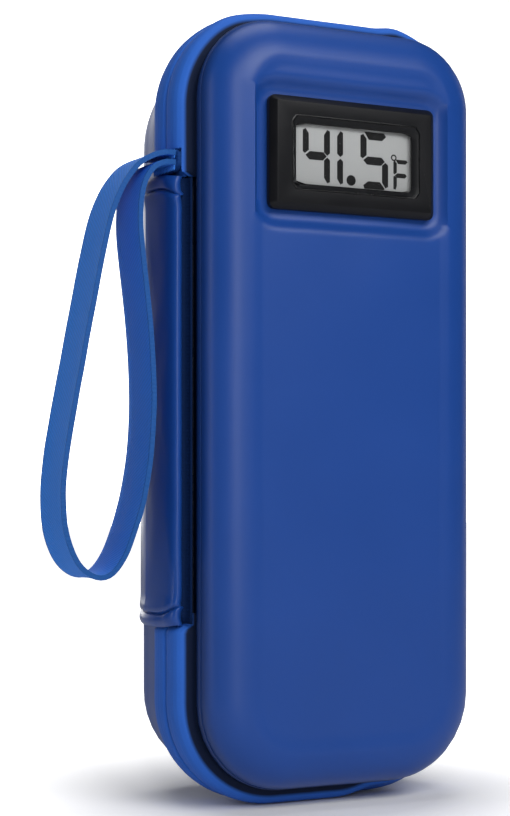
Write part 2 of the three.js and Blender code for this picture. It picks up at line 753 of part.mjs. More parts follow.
// A strip of elastic stitched down between its loops
function penLoops(height) {
  const back = dividerFront - clearance;
  const span = loopCount * loopWidth + (loopCount + 1) * loopFoot;
  const front = [];
  const rear = [];
  for (let loop = 0; loop < loopCount; loop++) {
    const start = -span / 2 + loop * (loopWidth + loopFoot);
    front.push([start, back - loopThickness]);
    rear.push([start, back]);
    for (let step = 0; step <= loopSteps; step++) {
      const angle = Math.PI * step / loopSteps;
      const across = start + loopFoot + loopWidth / 2;
      const along = -Math.cos(angle) * loopWidth / 2;
      const up = Math.pow(Math.sin(angle), loopFullness);
      front.push([across + along, back - loopThickness - up * loopRise]);
      rear.push([across + along * (1 - 2 * loopThickness / loopWidth), back - up * loopRise]);
    }
  }
  front.push([span / 2, back - loopThickness]);
  rear.push([span / 2, back]);
  return extrudeAlong('z', polygon([...front, ...rear.reverse()]), height - loopStrip / 2, loopStrip);
}

// The net pocket lies flat on the lid's lining, with its bound mouth a gap below the probe
function meshPocket() {
  const back = lidFloor + clearance;
  const floorEdge = lidEdgeRadius - shellWall - liningThickness;
  const inset = liningInset + liningThickness + shellDraft - rimStep + floorEdge;
  const panel = loft([outlineRing(inset, back), outlineRing(inset, back + pocketThickness)]);
  const top = probeTop - probeLength - pocketGap;
  const keep = box(caseWidth, lidDepth, top, new THREE.Vector3(0, back, top / 2));
  const width = caseWidth - 2 * inset;
  const binding = box(width, 2 * pocketThickness, pocketBinding,
    new THREE.Vector3(0, back + pocketThickness, top - pocketBinding / 2));
  return join(toGeometry(toSolid(panel).intersect(toSolid(keep))), binding);
}

const caseGroup = new THREE.Group();
caseGroup.position.y = -baseRest;

function add(name, geometry, finish, parent = caseGroup) {
  const mesh = new THREE.Mesh(geometry, new THREE.MeshStandardMaterial(finish));
  mesh.name = name;
  parent.add(mesh);
  return mesh;
}

function addRearHalf() {
  add('rear_shell', halfShell(1, baseDepth, baseEdgeRadius), finishes.shell);
  add('rear_tape', zipTape(1), finishes.tape);
  add('rear_coil', zipCoil(1, coilStations), finishes.coil);
  add('spine_flap', spineFlap(), finishes.shell);
  add('rear_lining', halfLining(1, baseDepth, baseEdgeRadius), finishes.lining);
  add('ice_pack_upper', icePack(1), finishes.gel);
  add('ice_pack_lower', icePack(-1), finishes.gel);
  add('divider_pad', dividerPad(), finishes.fabric);
  add('pen_loops_upper', penLoops(midHeight + packHeight * upperLoopShare), finishes.fabric);
  add('pen_loops_lower', penLoops(midHeight - packHeight * lowerLoopShare), finishes.fabric);
}

function addSliders() {
  for (const [name, side] of [['upper', 1], ['lower', -1]]) {
    const nose = meetHeight + side * clearance;
    const slider = zipSlider();
    if (side < 0) slider.rotateX(Math.PI);
    slider.translate(halfWidth, 0, nose);
    add(`${name}_slider`, slider, finishes.metal);
    const pull = sliderPull().translate(halfWidth + pullPivot, 0, nose + side * bailCentre);
    add(`${name}_pull`, pull, finishes.metal);
  }
}

function addFrontHalf() {
  add('front_shell', frontShell(), finishes.shell);
  add('front_tape', zipTape(-1), finishes.tape);
  add('front_coil_upper', zipCoil(-1, coilStations.slice(0, firstParked)), finishes.coil);
  add('front_coil_lower', zipCoil(-1, coilStations.slice(lastParked + 1)), finishes.coil);
  add('front_lining', frontLining(), finishes.lining);
  add('mesh_pocket', meshPocket(), finishes.fabric);
}

function addThermometer() {
  add('module_housing', moduleHousing(), finishes.abs);
  add('display_lens', flatPiece(lensFront, lensThickness, clearance), finishes.clear);
  add('lcd_panel', flatPiece(glassFront, glassThickness, glassMargin), finishes.glass);
  add('contact_strip', box(connectorLength, connectorHeight, connectorWidth, new THREE.Vector3(
    0, connectorFront + connectorHeight / 2, moduleHeight + pocketTall / 3)), finishes.rubber);
  add('circuit_board', flatPiece(boardFront, boardThickness, clearance), finishes.board);
  add('button_cell_left', buttonCell(-1), finishes.steel);
  add('button_cell_right', buttonCell(1), finishes.steel);
  add('module_back', moduleBack(), finishes.abs);
  add('battery_cover', batteryCover(), finishes.abs);
  add('unit_button', unitButton(), finishes.rubber);
  add('probe_lead', probeLead(), finishes.rubber);
  add('probe_tip', probeTip(), finishes.steel);
  add('probe_clip', probeClip(), finishes.fabric);
}

function addSpine() {
  add('spine_panel', spinePanel(), finishes.shell);
  add('strap_anchor', strapAnchor(), finishes.webbing);
  add('wrist_strap', wristStrap(), finishes.webbing);
}

addRearHalf();
addSliders();
addFrontHalf();
addThermometer();
addSpine();

export default caseGroup;
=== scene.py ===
"""Insulin cooling case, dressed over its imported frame. Metres, +Z up, the lid towards -Y."""
import json
import math

import bmesh
import bpy
from bpy.props import FloatProperty, FloatVectorProperty, PointerProperty
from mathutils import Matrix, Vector, noise

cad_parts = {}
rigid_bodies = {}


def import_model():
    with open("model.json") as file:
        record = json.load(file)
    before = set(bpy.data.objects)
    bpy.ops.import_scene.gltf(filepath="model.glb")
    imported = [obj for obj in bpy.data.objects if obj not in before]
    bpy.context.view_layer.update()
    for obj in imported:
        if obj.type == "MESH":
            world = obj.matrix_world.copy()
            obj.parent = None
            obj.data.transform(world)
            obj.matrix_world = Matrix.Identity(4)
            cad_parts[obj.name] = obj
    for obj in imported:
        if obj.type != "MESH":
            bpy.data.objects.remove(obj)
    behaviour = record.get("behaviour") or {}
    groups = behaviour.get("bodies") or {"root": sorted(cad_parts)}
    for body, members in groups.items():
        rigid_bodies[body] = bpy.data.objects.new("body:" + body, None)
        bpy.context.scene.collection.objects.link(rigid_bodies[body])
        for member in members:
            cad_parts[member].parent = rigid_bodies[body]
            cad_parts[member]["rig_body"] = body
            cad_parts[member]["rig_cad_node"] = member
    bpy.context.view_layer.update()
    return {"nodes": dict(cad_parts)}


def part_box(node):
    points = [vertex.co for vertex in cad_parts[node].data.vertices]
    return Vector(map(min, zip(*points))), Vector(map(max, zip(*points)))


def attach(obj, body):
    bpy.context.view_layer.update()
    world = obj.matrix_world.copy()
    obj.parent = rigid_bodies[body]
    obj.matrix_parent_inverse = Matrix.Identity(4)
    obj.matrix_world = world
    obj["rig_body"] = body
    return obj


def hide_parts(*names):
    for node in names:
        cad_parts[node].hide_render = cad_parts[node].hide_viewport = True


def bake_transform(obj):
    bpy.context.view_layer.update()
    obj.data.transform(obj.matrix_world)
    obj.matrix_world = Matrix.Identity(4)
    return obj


bl_info = {
    "name": "Insulin cooling case",
    "version": (1, 0, 0),
    "blender": (4, 5, 0),
    "location": "3D View > Sidebar > Cooling case",
    "description": "Models a zipped insulin cooling case with a thermometer in its lid",
    "category": "Object",
}

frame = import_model()
MM = 0.001
REAR_TAPE, FRONT_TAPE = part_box("rear_tape"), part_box("front_tape")
ZIP_PLANE = (REAR_TAPE[0].y + FRONT_TAPE[1].y) / 2
HALF_WIDTH = (FRONT_TAPE[1].x - FRONT_TAPE[0].x) / 2 / MM
HALF_HEIGHT = (FRONT_TAPE[1].z - FRONT_TAPE[0].z) / 2 / MM
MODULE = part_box("module_housing")
MODULE_Z = (MODULE[0].z + MODULE[1].z) / 2 / MM


# Sizes and colours that a user would change


def linear(code):
    """An sRGB hex colour as linear red, green and blue."""
    parts = [int(code[i:i + 2], 16) / 255 for i in (1, 3, 5)]
    return [p / 12.92 if p <= 0.04045 else ((p + 0.055) / 1.055) ** 2.4 for p in parts]


def length(name, millimetres, description):
    return FloatProperty(
        name=name, default=millimetres * MM, min=0, precision=5, unit="LENGTH",
        description=description)


def colour(name, code, description):
    return FloatVectorProperty(
        name=name, default=linear(code), size=3, min=0, max=1, subtype="COLOR",
        description=description)


class CaseSizes(bpy.types.PropertyGroup):
    """Sizes of the case's soft and moulded surfaces"""
    band_corner: length("Band corner", 27.3, "Radius of the band's corners seen from the front")
    rim_inset: length("Rim inset", 3.55, "How far the shells' rims stand in from the band")
    wall: length("Shell wall", 2.2, "Thickness of the moulded shells")
    draft: length("Draft", 1.2, "How far the shells' sides lean in")
    lid_edge: length("Lid edge", 9, "Depth of the lid's rounded edge")
    lid_round: length("Lid edge width", 12, "Width of the lid's rounded edge seen from the front")
    rear_edge: length("Rear edge", 10, "Radius of the rear shell's rounded edge")
    recess_depth: length("Recess depth", 2.1, "Depth of the recess round the thermometer")
    tape_cloth: length("Tape cloth", 0.9, "Thickness of the zip tape")
    coil_pitch: length("Coil pitch", 1.6, "Distance between the coil's turns")
    coil_wire: length("Coil wire", 0.62, "Thickness of the coil's monofilament")
    hem: length("Hem", 3.3, "Height of the spine cover's hems")
    webbing: length("Webbing", 1.3, "Thickness of the wrist strap")
    weave: length("Weave", 0.9, "Pitch of the webbing's twill")
    foam: length("Lining foam", 3, "Thickness of the insulating linings")
    net_pitch: length("Net pitch", 2.4, "Distance between the net's holes")
    net_thread: length("Net thread", 0.5, "Thickness of the net's strands")
    pack_swell: length("Gel pack swell", 5.6, "How far a gel pack's faces stand out from its seam")
    elastic: length("Elastic", 1.1, "Thickness of the pen loops' elastic")
    stitch: length("Stitch", 2.4, "Length of a stitch")


class CaseColours(bpy.types.PropertyGroup):
    """Colours of the case's finishes"""
    shell: colour("Shell", "#16408a", "Coated EVA of the two shells and the spine cover")
    tape: colour("Tape", "#2a63c2", "Woven zip tape, root webbing and gussets")
    strap: colour("Strap", "#357edf", "Twill webbing of the wrist strap and its thread")
    coil: colour("Coil", "#1a3a84", "Nylon coil")
    metal: colour("Metal", "#1d428c", "Painted zinc of the sliders and pulls")
    bezel: colour("Bezel", "#0a0b0f", "Textured ABS round the display")
    display: colour("Display", "#aeb0b0", "Reflective liquid crystal display")
    digits: colour("Digits", "#08090b", "Switched display segments")
    foil: colour("Foil", "#b9bdc2", "Aluminised film on the linings")
    fabric: colour("Fabric", "#26282c", "Divider, net and bindings")
    elastic: colour("Elastic", "#1f2124", "Ribbed elastic of the pen loops")
    gel: colour("Gel pack", "#d3e8f2", "Film of the gel packs")
    board: colour("Board", "#1f6b3a", "Solder mask of the circuit board")
    steel: colour("Steel", "#c6c9cc", "Nickel-plated steel of the cells and the probe")
    rubber: colour("Rubber", "#2f3032", "Probe lead, key and connector")
    backdrop: colour("Backdrop", "#f1f1f3", "Floor and backdrop of the studio")


def size(name):
    """A size from the panel, in millimetres."""
    return getattr(bpy.context.scene.case_sizes, name) / MM


def tint(name, shade=1.0):
    """A colour from the panel, darker or lighter by a factor."""
    return [min(part * shade, 1) for part in getattr(bpy.context.scene.case_colours, name)] + [1]


# Helpers


def at(x, y, z):
    """A point in the case's millimetres: x across, y behind the zip's plane, z above the base."""
    return Vector((x * MM, ZIP_PLANE + y * MM, z * MM))


def clear_selection():
    if bpy.context.object and bpy.context.object.mode != "OBJECT":
        bpy.ops.object.mode_set(mode="OBJECT")
    bpy.ops.object.select_all(action="DESELECT")


def added(name):
    """Names the piece that an operator has just added."""
    piece = bpy.context.object
    piece.name = piece.data.name = name
    return piece


def activate(piece):
    clear_selection()
    piece.select_set(True)
    bpy.context.view_layer.objects.active = piece


def edit(piece, kind="FACE", whole=False):
    """Opens the piece in edit mode, with all of it selected or nothing."""
    activate(piece)
    bpy.ops.object.mode_set(mode="EDIT")
    bpy.ops.mesh.select_mode(type=kind)
    bpy.ops.mesh.select_all(action="SELECT" if whole else "DESELECT")


def done():
    bpy.ops.object.mode_set(mode="OBJECT")


def pick(piece, kind, test):
    """In edit mode, selects the faces or edges for which the test holds."""
    mesh = bmesh.from_edit_mesh(piece.data)
    mesh.select_mode = {{"faces": "FACE", "edges": "EDGE"}[kind]}
    for part in getattr(mesh, kind):
        part.select_set(bool(test(part)))
    mesh.select_flush_mode()
    bmesh.update_edit_mesh(piece.data)


def modify(piece, kind, **settings):
    """Adds a modifier with its settings and applies it."""
    activate(piece)
    modifier = piece.modifiers.new(kind.title(), kind)
    for key, value in settings.items():
        setattr(modifier, key, value)
    bpy.ops.object.modifier_apply(modifier=modifier.name)
    return piece


def laid_grid(name, columns, rows, place, spread=None):
    """A grid whose points place(i, j) lays out, with spread(i, j) as its UVs in metres."""
    clear_selection()
    bpy.ops.mesh.primitive_grid_add(x_subdivisions=columns, y_subdivisions=rows, size=1)
    piece = added(name)
    mesh = piece.data
    cells = [(round((v.co.x + 0.5) * columns), round((v.co.y + 0.5) * rows)) for v in mesh.vertices]
    for vertex, cell in zip(mesh.vertices, cells):
        vertex.co = place(*cell)
    if spread:
        layer = mesh.uv_layers.active.data
        for loop in mesh.loops:
            layer[loop.index].uv = spread(*cells[loop.vertex_index])
    return piece


def weld(piece, outwards=True):
    """Joins points that meet and turns the faces outwards."""
    edit(piece, "VERT", whole=True)
    bpy.ops.mesh.remove_doubles(threshold=0.00001)
    if outwards:
        bpy.ops.mesh.normals_make_consistent(inside=False)
    done()
    return piece


def finish(piece, body, slot, material, *nodes, angle=40):
    """Gives the piece its shading and material, and its body when that is named; it may stand for
    CAD nodes. The slot is not used.
    """
    activate(piece)
    bpy.ops.object.transform_apply(location=True, rotation=True, scale=True)
    bpy.ops.object.shade_smooth_by_angle(angle=math.radians(angle))
    piece.data.materials.clear()
    piece.data.materials.append(material)
    if isinstance(body, str):
        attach(piece, body)
    else:
        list(body)
        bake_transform(piece)
    if nodes:
        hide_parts(*nodes)
    return piece


def ease(share):
    share = held(share)
    return share * share * share * (share * (6 * share - 15) + 10)


def held(share):
    """A share held between 0 and 1."""
    return min(max(share, 0), 1)


def bell(distance, middle, width):
    """A soft rise to 1 at the middle."""
    return math.exp(-((distance - middle) / width) ** 2)


def running_lengths(points):
    """The distance from the first point to each point along the line through them all."""
    lengths = [0.0]
    for first, second in zip(points, points[1:]):
        lengths.append(lengths[-1] + math.dist(first, second))
    return lengths


def turned(name, profile, middle, sides=24):
    """A turned piece standing on its middle point, from (radius, height) pairs."""
    def place(i, j):
        radius, height = profile[i]
        angle = 2 * math.pi * j / sides
        return middle + Vector((radius * math.cos(angle), radius * math.sin(angle), height)) * MM

    return weld(laid_grid(name, len(profile) - 1, sides, place))


def binding(name, line, deep, width, thick, closed=False, gather=0.0):
    """A binding tape folded over an edge: line holds (x, z) points, deep its middle's depth."""
    spots, total = smooth_line(line, 1.5)
    rows, around = len(spots) - 1, 12

    def place(i, j):
        back, ahead = (j - 1, j + 1) if not closed else ((j - 1) % rows, (j + 1) % rows)
        run = (spots[min(ahead, rows)] - spots[max(back, 0)]).normalized()
        side = Vector((-run.y, run.x))
        angle = 2 * math.pi * i / around
        flat_across, flat_deep = (
            math.copysign(abs(part) ** 0.5, part) for part in (math.cos(angle), math.sin(angle)))
        spot = spots[j] + side * flat_across * width / 2
        wave = gather * math.sin(j * 1.3 + 2 * noise.noise((j / 3, 0, 7.7)))
        return at(spot.x, deep + (flat_deep * thick / 2) + wave * thick / 2, spot.y)

    piece = laid_grid(name, around, rows, place,
                      lambda i, j: (i / around * 2 * (width + thick) * MM, total * j / rows * MM))
    weld(piece, outwards=False)
    if not closed:
        edit(piece, whole=True)
        bpy.ops.mesh.fill_holes(sides=0)
        done()
    return weld(piece)


# From one stitch to the next, in lengths of a stitch
STITCH_STEP = 1.35


def stitches(name, lines, thread):
    """Rows of stitches as short bent threads; each line holds points that lie on the cloth."""
    reach, sides = size("stitch"), 5
    taper = ((0, 0.35), (0.2, 1), (0.8, 1), (1, 0.35))
    points, faces = [], []
    for line in lines:
        spots, _ = smooth_line(line, reach * STITCH_STEP)
        for spot, ahead in zip(spots, spots[1:]):
            run = (ahead - spot).normalized()
            side = run.cross(Vector((0, 0, 1)) if abs(run.z) < 0.8 else Vector((0, 1, 0)))
            lift = run.cross(side.normalized())
            side.normalize()
            base = len(points)
            for share, fat in taper:
                middle = spot + run * reach * share
                for turn in range(sides):
                    angle = 2 * math.pi * turn / sides
                    points.append(middle + fat * thread / 2 * (
                        side * math.cos(angle) + lift * math.sin(angle)))
            for ring in range(len(taper) - 1):
                for turn in range(sides):
                    first = base + ring * sides + turn
                    second = base + ring * sides + (turn + 1) % sides
                    faces.append((first, second, second + sides, first + sides))
            last = base + len(taper) * sides - 1
            faces.append(tuple(base + turn for turn in range(sides)))
            faces.append(tuple(last - turn for turn in range(sides)))
    return faceted(name, [at(*point) for point in points], faces)


def faceted(name, points, faces):
    """A new piece made of faces over the points, turned outwards."""
    clear_selection()
    bpy.ops.mesh.primitive_plane_add(size=MM)
    piece = added(name)
    edit(piece, whole=True)
    bpy.ops.mesh.delete(type="VERT")
    mesh = bmesh.from_edit_mesh(piece.data)
    corners = [mesh.verts.new(point) for point in points]
    for face in faces:
        mesh.faces.new([corners[k] for k in face])
    bmesh.update_edit_mesh(piece.data)
    bpy.ops.mesh.select_all(action="SELECT")
    bpy.ops.mesh.normals_make_consistent(inside=False)
    done()
    return piece


def dress(material, *nodes):
    """Gives CAD nodes that stay as they are their finish."""
    for node in nodes:
        slots = frame["nodes"][node].data.materials
        slots.clear()
        slots.append(material)


def band_point(distance, inset):
    """A point (x, z) on the band's outline, by the distance along its outer edge clockwise from
    the middle of its left side, and the inset from that edge."""
    radius = size("band_corner")
    half_x, half_z = HALF_WIDTH - radius, HALF_HEIGHT - radius
    legs = [half_z, 2 * half_x, 2 * half_z, 2 * half_x, half_z]
    corners = [(-half_x, half_z), (half_x, half_z), (half_x, -half_z), (-half_x, -half_z)]
    core, angle, arc = Vector((-half_x, 0)), math.pi, radius * math.pi / 2
    for leg, corner in zip(legs, corners + [None]):
        if distance <= leg or corner is None:
            core = core + distance * Vector((math.sin(angle), -math.cos(angle)))
            break
        distance -= leg
        core = Vector(corner)
        if distance <= arc:
            angle -= distance / radius
            break
        distance -= arc
        angle -= math.pi / 2
    spot = core + (radius - inset) * Vector((math.cos(angle), math.sin(angle)))
    return Vector((spot.x, spot.y + HALF_HEIGHT))


def band_length():
    radius = size("band_corner")
    return 4 * (HALF_WIDTH + HALF_HEIGHT) - 8 * radius + 2 * math.pi * radius


def band_line(inset, count=120):
    """A closed line round the band at an inset."""
    return [band_point(band_length() * k / count, inset) for k in range(count + 1)]


# Materials

# A wave texture of scale 1 repeats at this distance
WAVE_PERIOD = 0.314
# Depths behind the zip's line between which the lid's rim is painted darker, as painted shade of
# the crevice
RIM_SHADE_DEPTHS = (-16, -9)
# The point of TAPE_SECTION where the tape goes in behind the shell's flange; from there on it is
# painted dark, as painted shade
TAPE_CREASE = 13


def surface(name, colour_value, roughness, cloth=False, **settings):
    """A new material with its shader's even values, and the place that its patterns read: Object
    coordinates, or the piece's own UV map on cloth."""
    material = bpy.data.materials.new(name)
    material.use_nodes = True
    shader = material.node_tree.nodes["Principled BSDF"]
    settings.update(base_color=colour_value, roughness=roughness)
    for key, value in settings.items():
        shader.inputs[socket_name(key)].default_value = value
    place = add_node(material, "UVMap")[0] if cloth else add_node(material, "TexCoord")["Object"]
    return material, place


def socket_name(key):
    return key.replace("_", " ").title().replace("Ior", "IOR")


def add_node(material, kind, numbered=(), **named):
    """Adds a node and returns its outputs. A named value goes to the input of that name, or else
    to the node's own setting."""
    made = material.node_tree.nodes.new("ShaderNode" + kind)
    sockets = dict(numbered)
    for key, value in named.items():
        if socket_name(key) in made.inputs:
            sockets[socket_name(key)] = value
        else:
            setattr(made, key, value)
    for key, value in sockets.items():
        if isinstance(value, bpy.types.NodeSocket):
            material.node_tree.links.new(value, made.inputs[key])
        else:
            made.inputs[key].default_value = value
    return made.outputs


def feed(material, **sources):
    """Links outputs to the shader's inputs, and returns the material. A source that is given as
    (pattern, low, high) is spread over that range first."""
    shader = material.node_tree.nodes["Principled BSDF"]
    for key, source in sources.items():
        if isinstance(source, tuple):
            source = add_node(
                material, "MapRange", value=source[0], to_min=source[1], to_max=source[2])[0]
        material.node_tree.links.new(source, shader.inputs[socket_name(key)])
    return material


def pattern(material, kind, millimetres, place, **settings):
    """A texture with features of that size; a wave's size is the distance between its ridges."""
    is_wave = kind == "Wave"
    scale = (WAVE_PERIOD if is_wave else 1) / (millimetres * MM)
    return add_node(material, "Tex" + kind, vector=place, scale=scale, **settings)[int(is_wave)]


def shaded(material, amount, first, second, low=0.0, high=1.0):
    """Goes from one colour to another by a pattern, between two shares of the second."""
    if (low, high) != (0.0, 1.0):
        amount = add_node(material, "MapRange", value=amount, to_min=low, to_max=high)[0]
    return add_node(material, "Mix", {0: amount, 6: first, 7: second}, data_type="RGBA")[2]


def relief(material, *layers):
    """Layers of relief from the lowest up, each as (pattern, depth in millimetres)."""
    below = {}
    for height, depth in layers:
        made = add_node(material, "Bump", height=height, strength=1.0, distance=depth * MM, **below)
        below = {"normal": made[0]}
    return below["normal"]


def coated_eva(name="Coated EVA, heat moulded", gloss=0.0, rim_shade=False):
    """Polyurethane film over foam: satin, with a fine pebble and soft hand-made unevenness.
    On the lid, its rim is painted darker towards the zip's line: painted shade of the crevice."""
    material, place = surface(name, tint("shell"), 0.38 - gloss, specular_ior_level=0.32)
    mottle = pattern(material, "Noise", 28, place, detail=1.0)
    pebble = pattern(material, "Noise", 0.7, place)
    tone = shaded(material, mottle, tint("shell", 0.93), tint("shell", 1.06))
    # Painted shade: the lid's film darkens towards the zip's line, where the crevice lies in shade
    if rim_shade:
        deep = add_node(material, "SeparateXYZ", {0: place})[1]
        outer, inner = (depth * MM + ZIP_PLANE for depth in RIM_SHADE_DEPTHS)
        rim = add_node(material, "MapRange", value=deep, from_min=outer, from_max=inner)[0]
        tone = shaded(material, rim, tone, tint("shell", 0.12))
    return feed(material, base_color=tone, roughness=(mottle, 0.34 - gloss, 0.42 - gloss),
                normal=relief(material, (mottle, 0.35), (pebble, 0.012)))


def woven_tape():
    """Polyester zip tape: fine ribs along its length, drawn 1.4 mm apart so that they show. Where
    it goes in behind the shell's flange it is painted dark, as painted shade of the crevice."""
    material, place = surface(
        "Woven polyester tape", tint("tape"), 0.7, cloth=True, specular_ior_level=0.2)
    ribs = pattern(material, "Wave", 1.4, place, distortion=0.4, detail=1.0)
    threads = pattern(material, "Noise", 0.45, place, detail=3.0)
    wear = pattern(material, "Noise", 14, place)
    tone = shaded(material, wear, tint("tape", 0.86), tint("tape", 1.08))
    tone = shaded(material, threads, tone, tint("tape", 0.7), high=0.35)
    # Painted shade: beyond its crease the tape is darkened to a few hundredths of its colour
    across = add_node(material, "SeparateXYZ", {0: place})[0]
    crease = running_lengths(TAPE_SECTION)[TAPE_CREASE] * MM
    crevice_shade = add_node(material, "MapRange", value=across, from_min=crease - 0.4 * MM,
                      from_max=crease + 0.5 * MM)[0]
    tone = shaded(material, crevice_shade, tone, tint("tape", 0.06))
    return feed(material, base_color=tone, normal=relief(material, (ribs, 0.03), (threads, 0.03)))


def twill_webbing():
    """Polyester webbing: a twill whose ridges cross it at a slant, with ribbed edges painted darker
    as painted shade.
    """
    material, place = surface(
        "Twill webbing", tint("strap"), 0.65, cloth=True, specular_ior_level=0.15)
    slanted = add_node(material, "Mapping", vector=place, rotation=(0, 0, math.radians(32)))[0]
    twill = pattern(material, "Wave", size("weave"), slanted, distortion=0.6, detail=1.0,
                    detail_scale=2.0, bands_direction="Y")
    warp = pattern(material, "Wave", 0.75, place)
    fuzz = pattern(material, "Noise", 0.5, place, detail=3.0)
    tone = shaded(material, twill, tint("strap", 0.8), tint("strap", 1.1), 0.1, 0.75)
    tone = shaded(material, fuzz, tone, tint("strap", 0.85), high=0.3)
    # Painted shade: the webbing is darkened to four tenths of its colour at its two edges
    across = add_node(material, "SeparateXYZ", {0: place})[0]
    apart = add_node(material, "Math", {0: across, 1: STRAP_HALF * MM}, operation="SUBTRACT")[0]
    apart = add_node(material, "Math", {0: apart}, operation="ABSOLUTE")[0]
    edge_shade = add_node(material, "MapRange", value=apart, from_min=(STRAP_HALF - 0.5) * MM,
                        from_max=(STRAP_HALF - 0.05) * MM)[0]
    tone = shaded(material, edge_shade, tone, tint("strap", 0.4))
    return feed(material, base_color=tone, normal=relief(material, (warp, 0.02), (twill, 0.05)))


def textured_abs(name="Spark-textured ABS", colour_name="bezel", shade=1.0, roughness=0.38):
    """Injection-moulded ABS with the fine grain of a spark-eroded mould."""
    material, place = surface(name, tint(colour_name, shade), roughness, specular_ior_level=0.22)
    sparks = pattern(material, "Noise", 0.25, place)
    handling = pattern(material, "Noise", 9, place)
    tone = shaded(material, handling, tint(colour_name, 0.9 * shade),
                  tint(colour_name, 1.12 * shade))
    return feed(material, base_color=tone, normal=relief(material, (sparks, 0.015)),
                roughness=(handling, roughness - 0.06, roughness + 0.08))


def acrylic():
    """Polished acrylic window: clear, with faint smears."""
    material, place = surface("Clear acrylic", (0.01, 0.01, 0.01, 1), 0.08, ior=1.49, alpha=0.06)
    smear = pattern(material, "Noise", 6, place, detail=3.0)
    return feed(material, roughness=(smear, 0.05, 0.12))


def display_film():
    """Reflective polariser behind the display's glass: matt, faintly speckled grey."""
    material, place = surface("Reflective display film", tint("display"), 0.5)
    speckle = pattern(material, "Noise", 0.3, place, detail=1.0)
    shading = pattern(material, "Noise", 25, place, detail=0.0)
    tone = shaded(material, shading, tint("display", 0.94), tint("display", 1.05))
    return feed(material,
                base_color=shaded(material, speckle, tone, tint("display", 0.8), high=0.12))


def drawn_polymer(name, colour_name, shade=1.0, roughness=0.4):
    """Nylon monofilament, sewing thread or a printed segment: even, with a faint mottle."""
    material, place = surface(name, tint(colour_name, shade), roughness)
    mottle = pattern(material, "Noise", 1.1, place)
    return feed(material, base_color=shaded(
        material, mottle, tint(colour_name, 0.8 * shade), tint(colour_name, 1.15 * shade)))


def foil():
    """Aluminised film laminated to foam: mirror-like but broken up by fine creases."""
    material, place = surface("Aluminised lining film", tint("foil"), 0.3, metallic=0.85)
    crease = pattern(material, "Voronoi", 5, place, feature="SMOOTH_F1")
    fine = pattern(material, "Noise", 1.6, place, detail=3.0)
    tone = shaded(material, fine, tint("foil", 0.9), tint("foil", 1.08))
    return feed(material, base_color=tone, roughness=(crease, 0.24, 0.4),
                normal=relief(material, (crease, 0.35), (fine, 0.12)))


def oxford(name, colour_name, pitch=0.8, shade=1.0):
    """Plain-woven polyester; its 0.3 mm threads are drawn coarser so that they show."""
    material, place = surface(name, tint(colour_name, shade), 0.8, specular_ior_level=0.08)
    warp, weft = (pattern(material, "Wave", pitch, place, bands_direction=way) for way in "XZ")
    cross = add_node(material, "Math", {0: warp, 1: weft}, operation="MULTIPLY")[0]
    lint = pattern(material, "Noise", 5, place, detail=3.0)
    tone = shaded(material, cross, tint(colour_name, 0.8 * shade), tint(colour_name, 1.2 * shade),
                  0.2, 0.8)
    tone = shaded(material, lint, tone, tint(colour_name, 1.4 * shade), high=0.4)
    return feed(material, base_color=tone, normal=relief(material, (cross, 0.06)))


def ribbed_elastic():
    """Knitted elastic: rubber cords under polyester, seen as close ribs along its length."""
    material, place = surface("Ribbed elastic", tint("elastic"), 0.75, cloth=True, sheen_weight=0.2)
    ribs = pattern(material, "Wave", 1.3, place, bands_direction="Y")
    knit = pattern(material, "Noise", 0.6, place)
    tone = shaded(material, ribs, tint("elastic", 0.75), tint("elastic", 1.35))
    tone = shaded(material, knit, tone, tint("elastic", 0.9), high=0.4)
    return feed(material, base_color=tone, normal=relief(material, (ribs, 0.2), (knit, 0.03)))


def gel_film():
    """Polyethylene film over gel: pale, waxy and wrinkled, with a soft sheen."""
    material, place = surface("Polyethylene gel pouch", tint("gel"), 0.28, subsurface_weight=0.15,
                              subsurface_scale=0.004)
    clouds = pattern(material, "Noise", 16, place)
    wrinkle = pattern(material, "Noise", 2.5, place, detail=3.0)
    tone = shaded(material, clouds, tint("gel", 0.86), tint("gel", 1.05))
    return feed(material, base_color=tone, roughness=(wrinkle, 0.2, 0.4),
                normal=relief(material, (wrinkle, 0.15)))


def solder_mask():
    """Green solder mask with copper tracks faintly raised under it."""
    material, place = surface("Solder mask on laminate", tint("board"), 0.35)
    tracks = pattern(material, "Brick", 6, place, mortar_size=0.06, mortar=(1, 1, 1, 1),
                     color1=(0, 0, 0, 1), color2=(0.2, 0.2, 0.2, 1))
    tone = shaded(material, tracks, tint("board"), tint("board", 1.7))
    return feed(material, base_color=tone, normal=relief(material, (tracks, 0.03)))


def plated_steel():
    """Deep-drawn steel with a nickel plate: bright, with faint handling marks."""
    material, place = surface("Nickel-plated steel", tint("steel"), 0.22, metallic=1.0)
    marks = pattern(material, "Noise", 1.8, place, detail=4.0)
    tone = shaded(material, marks, tint("steel", 0.88), tint("steel", 1.04))
    return feed(material, base_color=tone, roughness=(marks, 0.16, 0.34))


def soft_rubber(name, roughness=0.55):
    """Soft PVC or silicone moulding: matt, slightly dusty."""
    material, place = surface(name, tint("rubber"), roughness)
    dust = pattern(material, "Noise", 2.2, place, detail=3.0)
    skin = pattern(material, "Noise", 0.3, place)
    tone = shaded(material, dust, tint("rubber", 0.8), tint("rubber", 1.3))
    return feed(material, base_color=tone, normal=relief(material, (skin, 0.02)))


def painted_zinc():
    """Die-cast zinc under stoved enamel: glossy, slightly uneven."""
    material, place = surface("Enamelled zinc", tint("metal"), 0.3, coat_weight=0.4)
    peel = pattern(material, "Noise", 0.8, place)
    rub = pattern(material, "Noise", 3.5, place, detail=3.0)
    tone = shaded(material, rub, tint("metal", 0.85), tint("metal", 1.15))
    return feed(material, base_color=tone, normal=relief(material, (peel, 0.02)))


# Operators: one for each piece or group of like pieces


class StageOperator(bpy.types.Operator):
    """Camera, soft lights, floor and backdrop"""
    bl_idname = "cooling_case.stage"
    bl_label = "Stage"

    def execute(self, context):
        place_camera(context)
        place_lights()
        place_backdrop()
        place_floor()
        return {"FINISHED"}


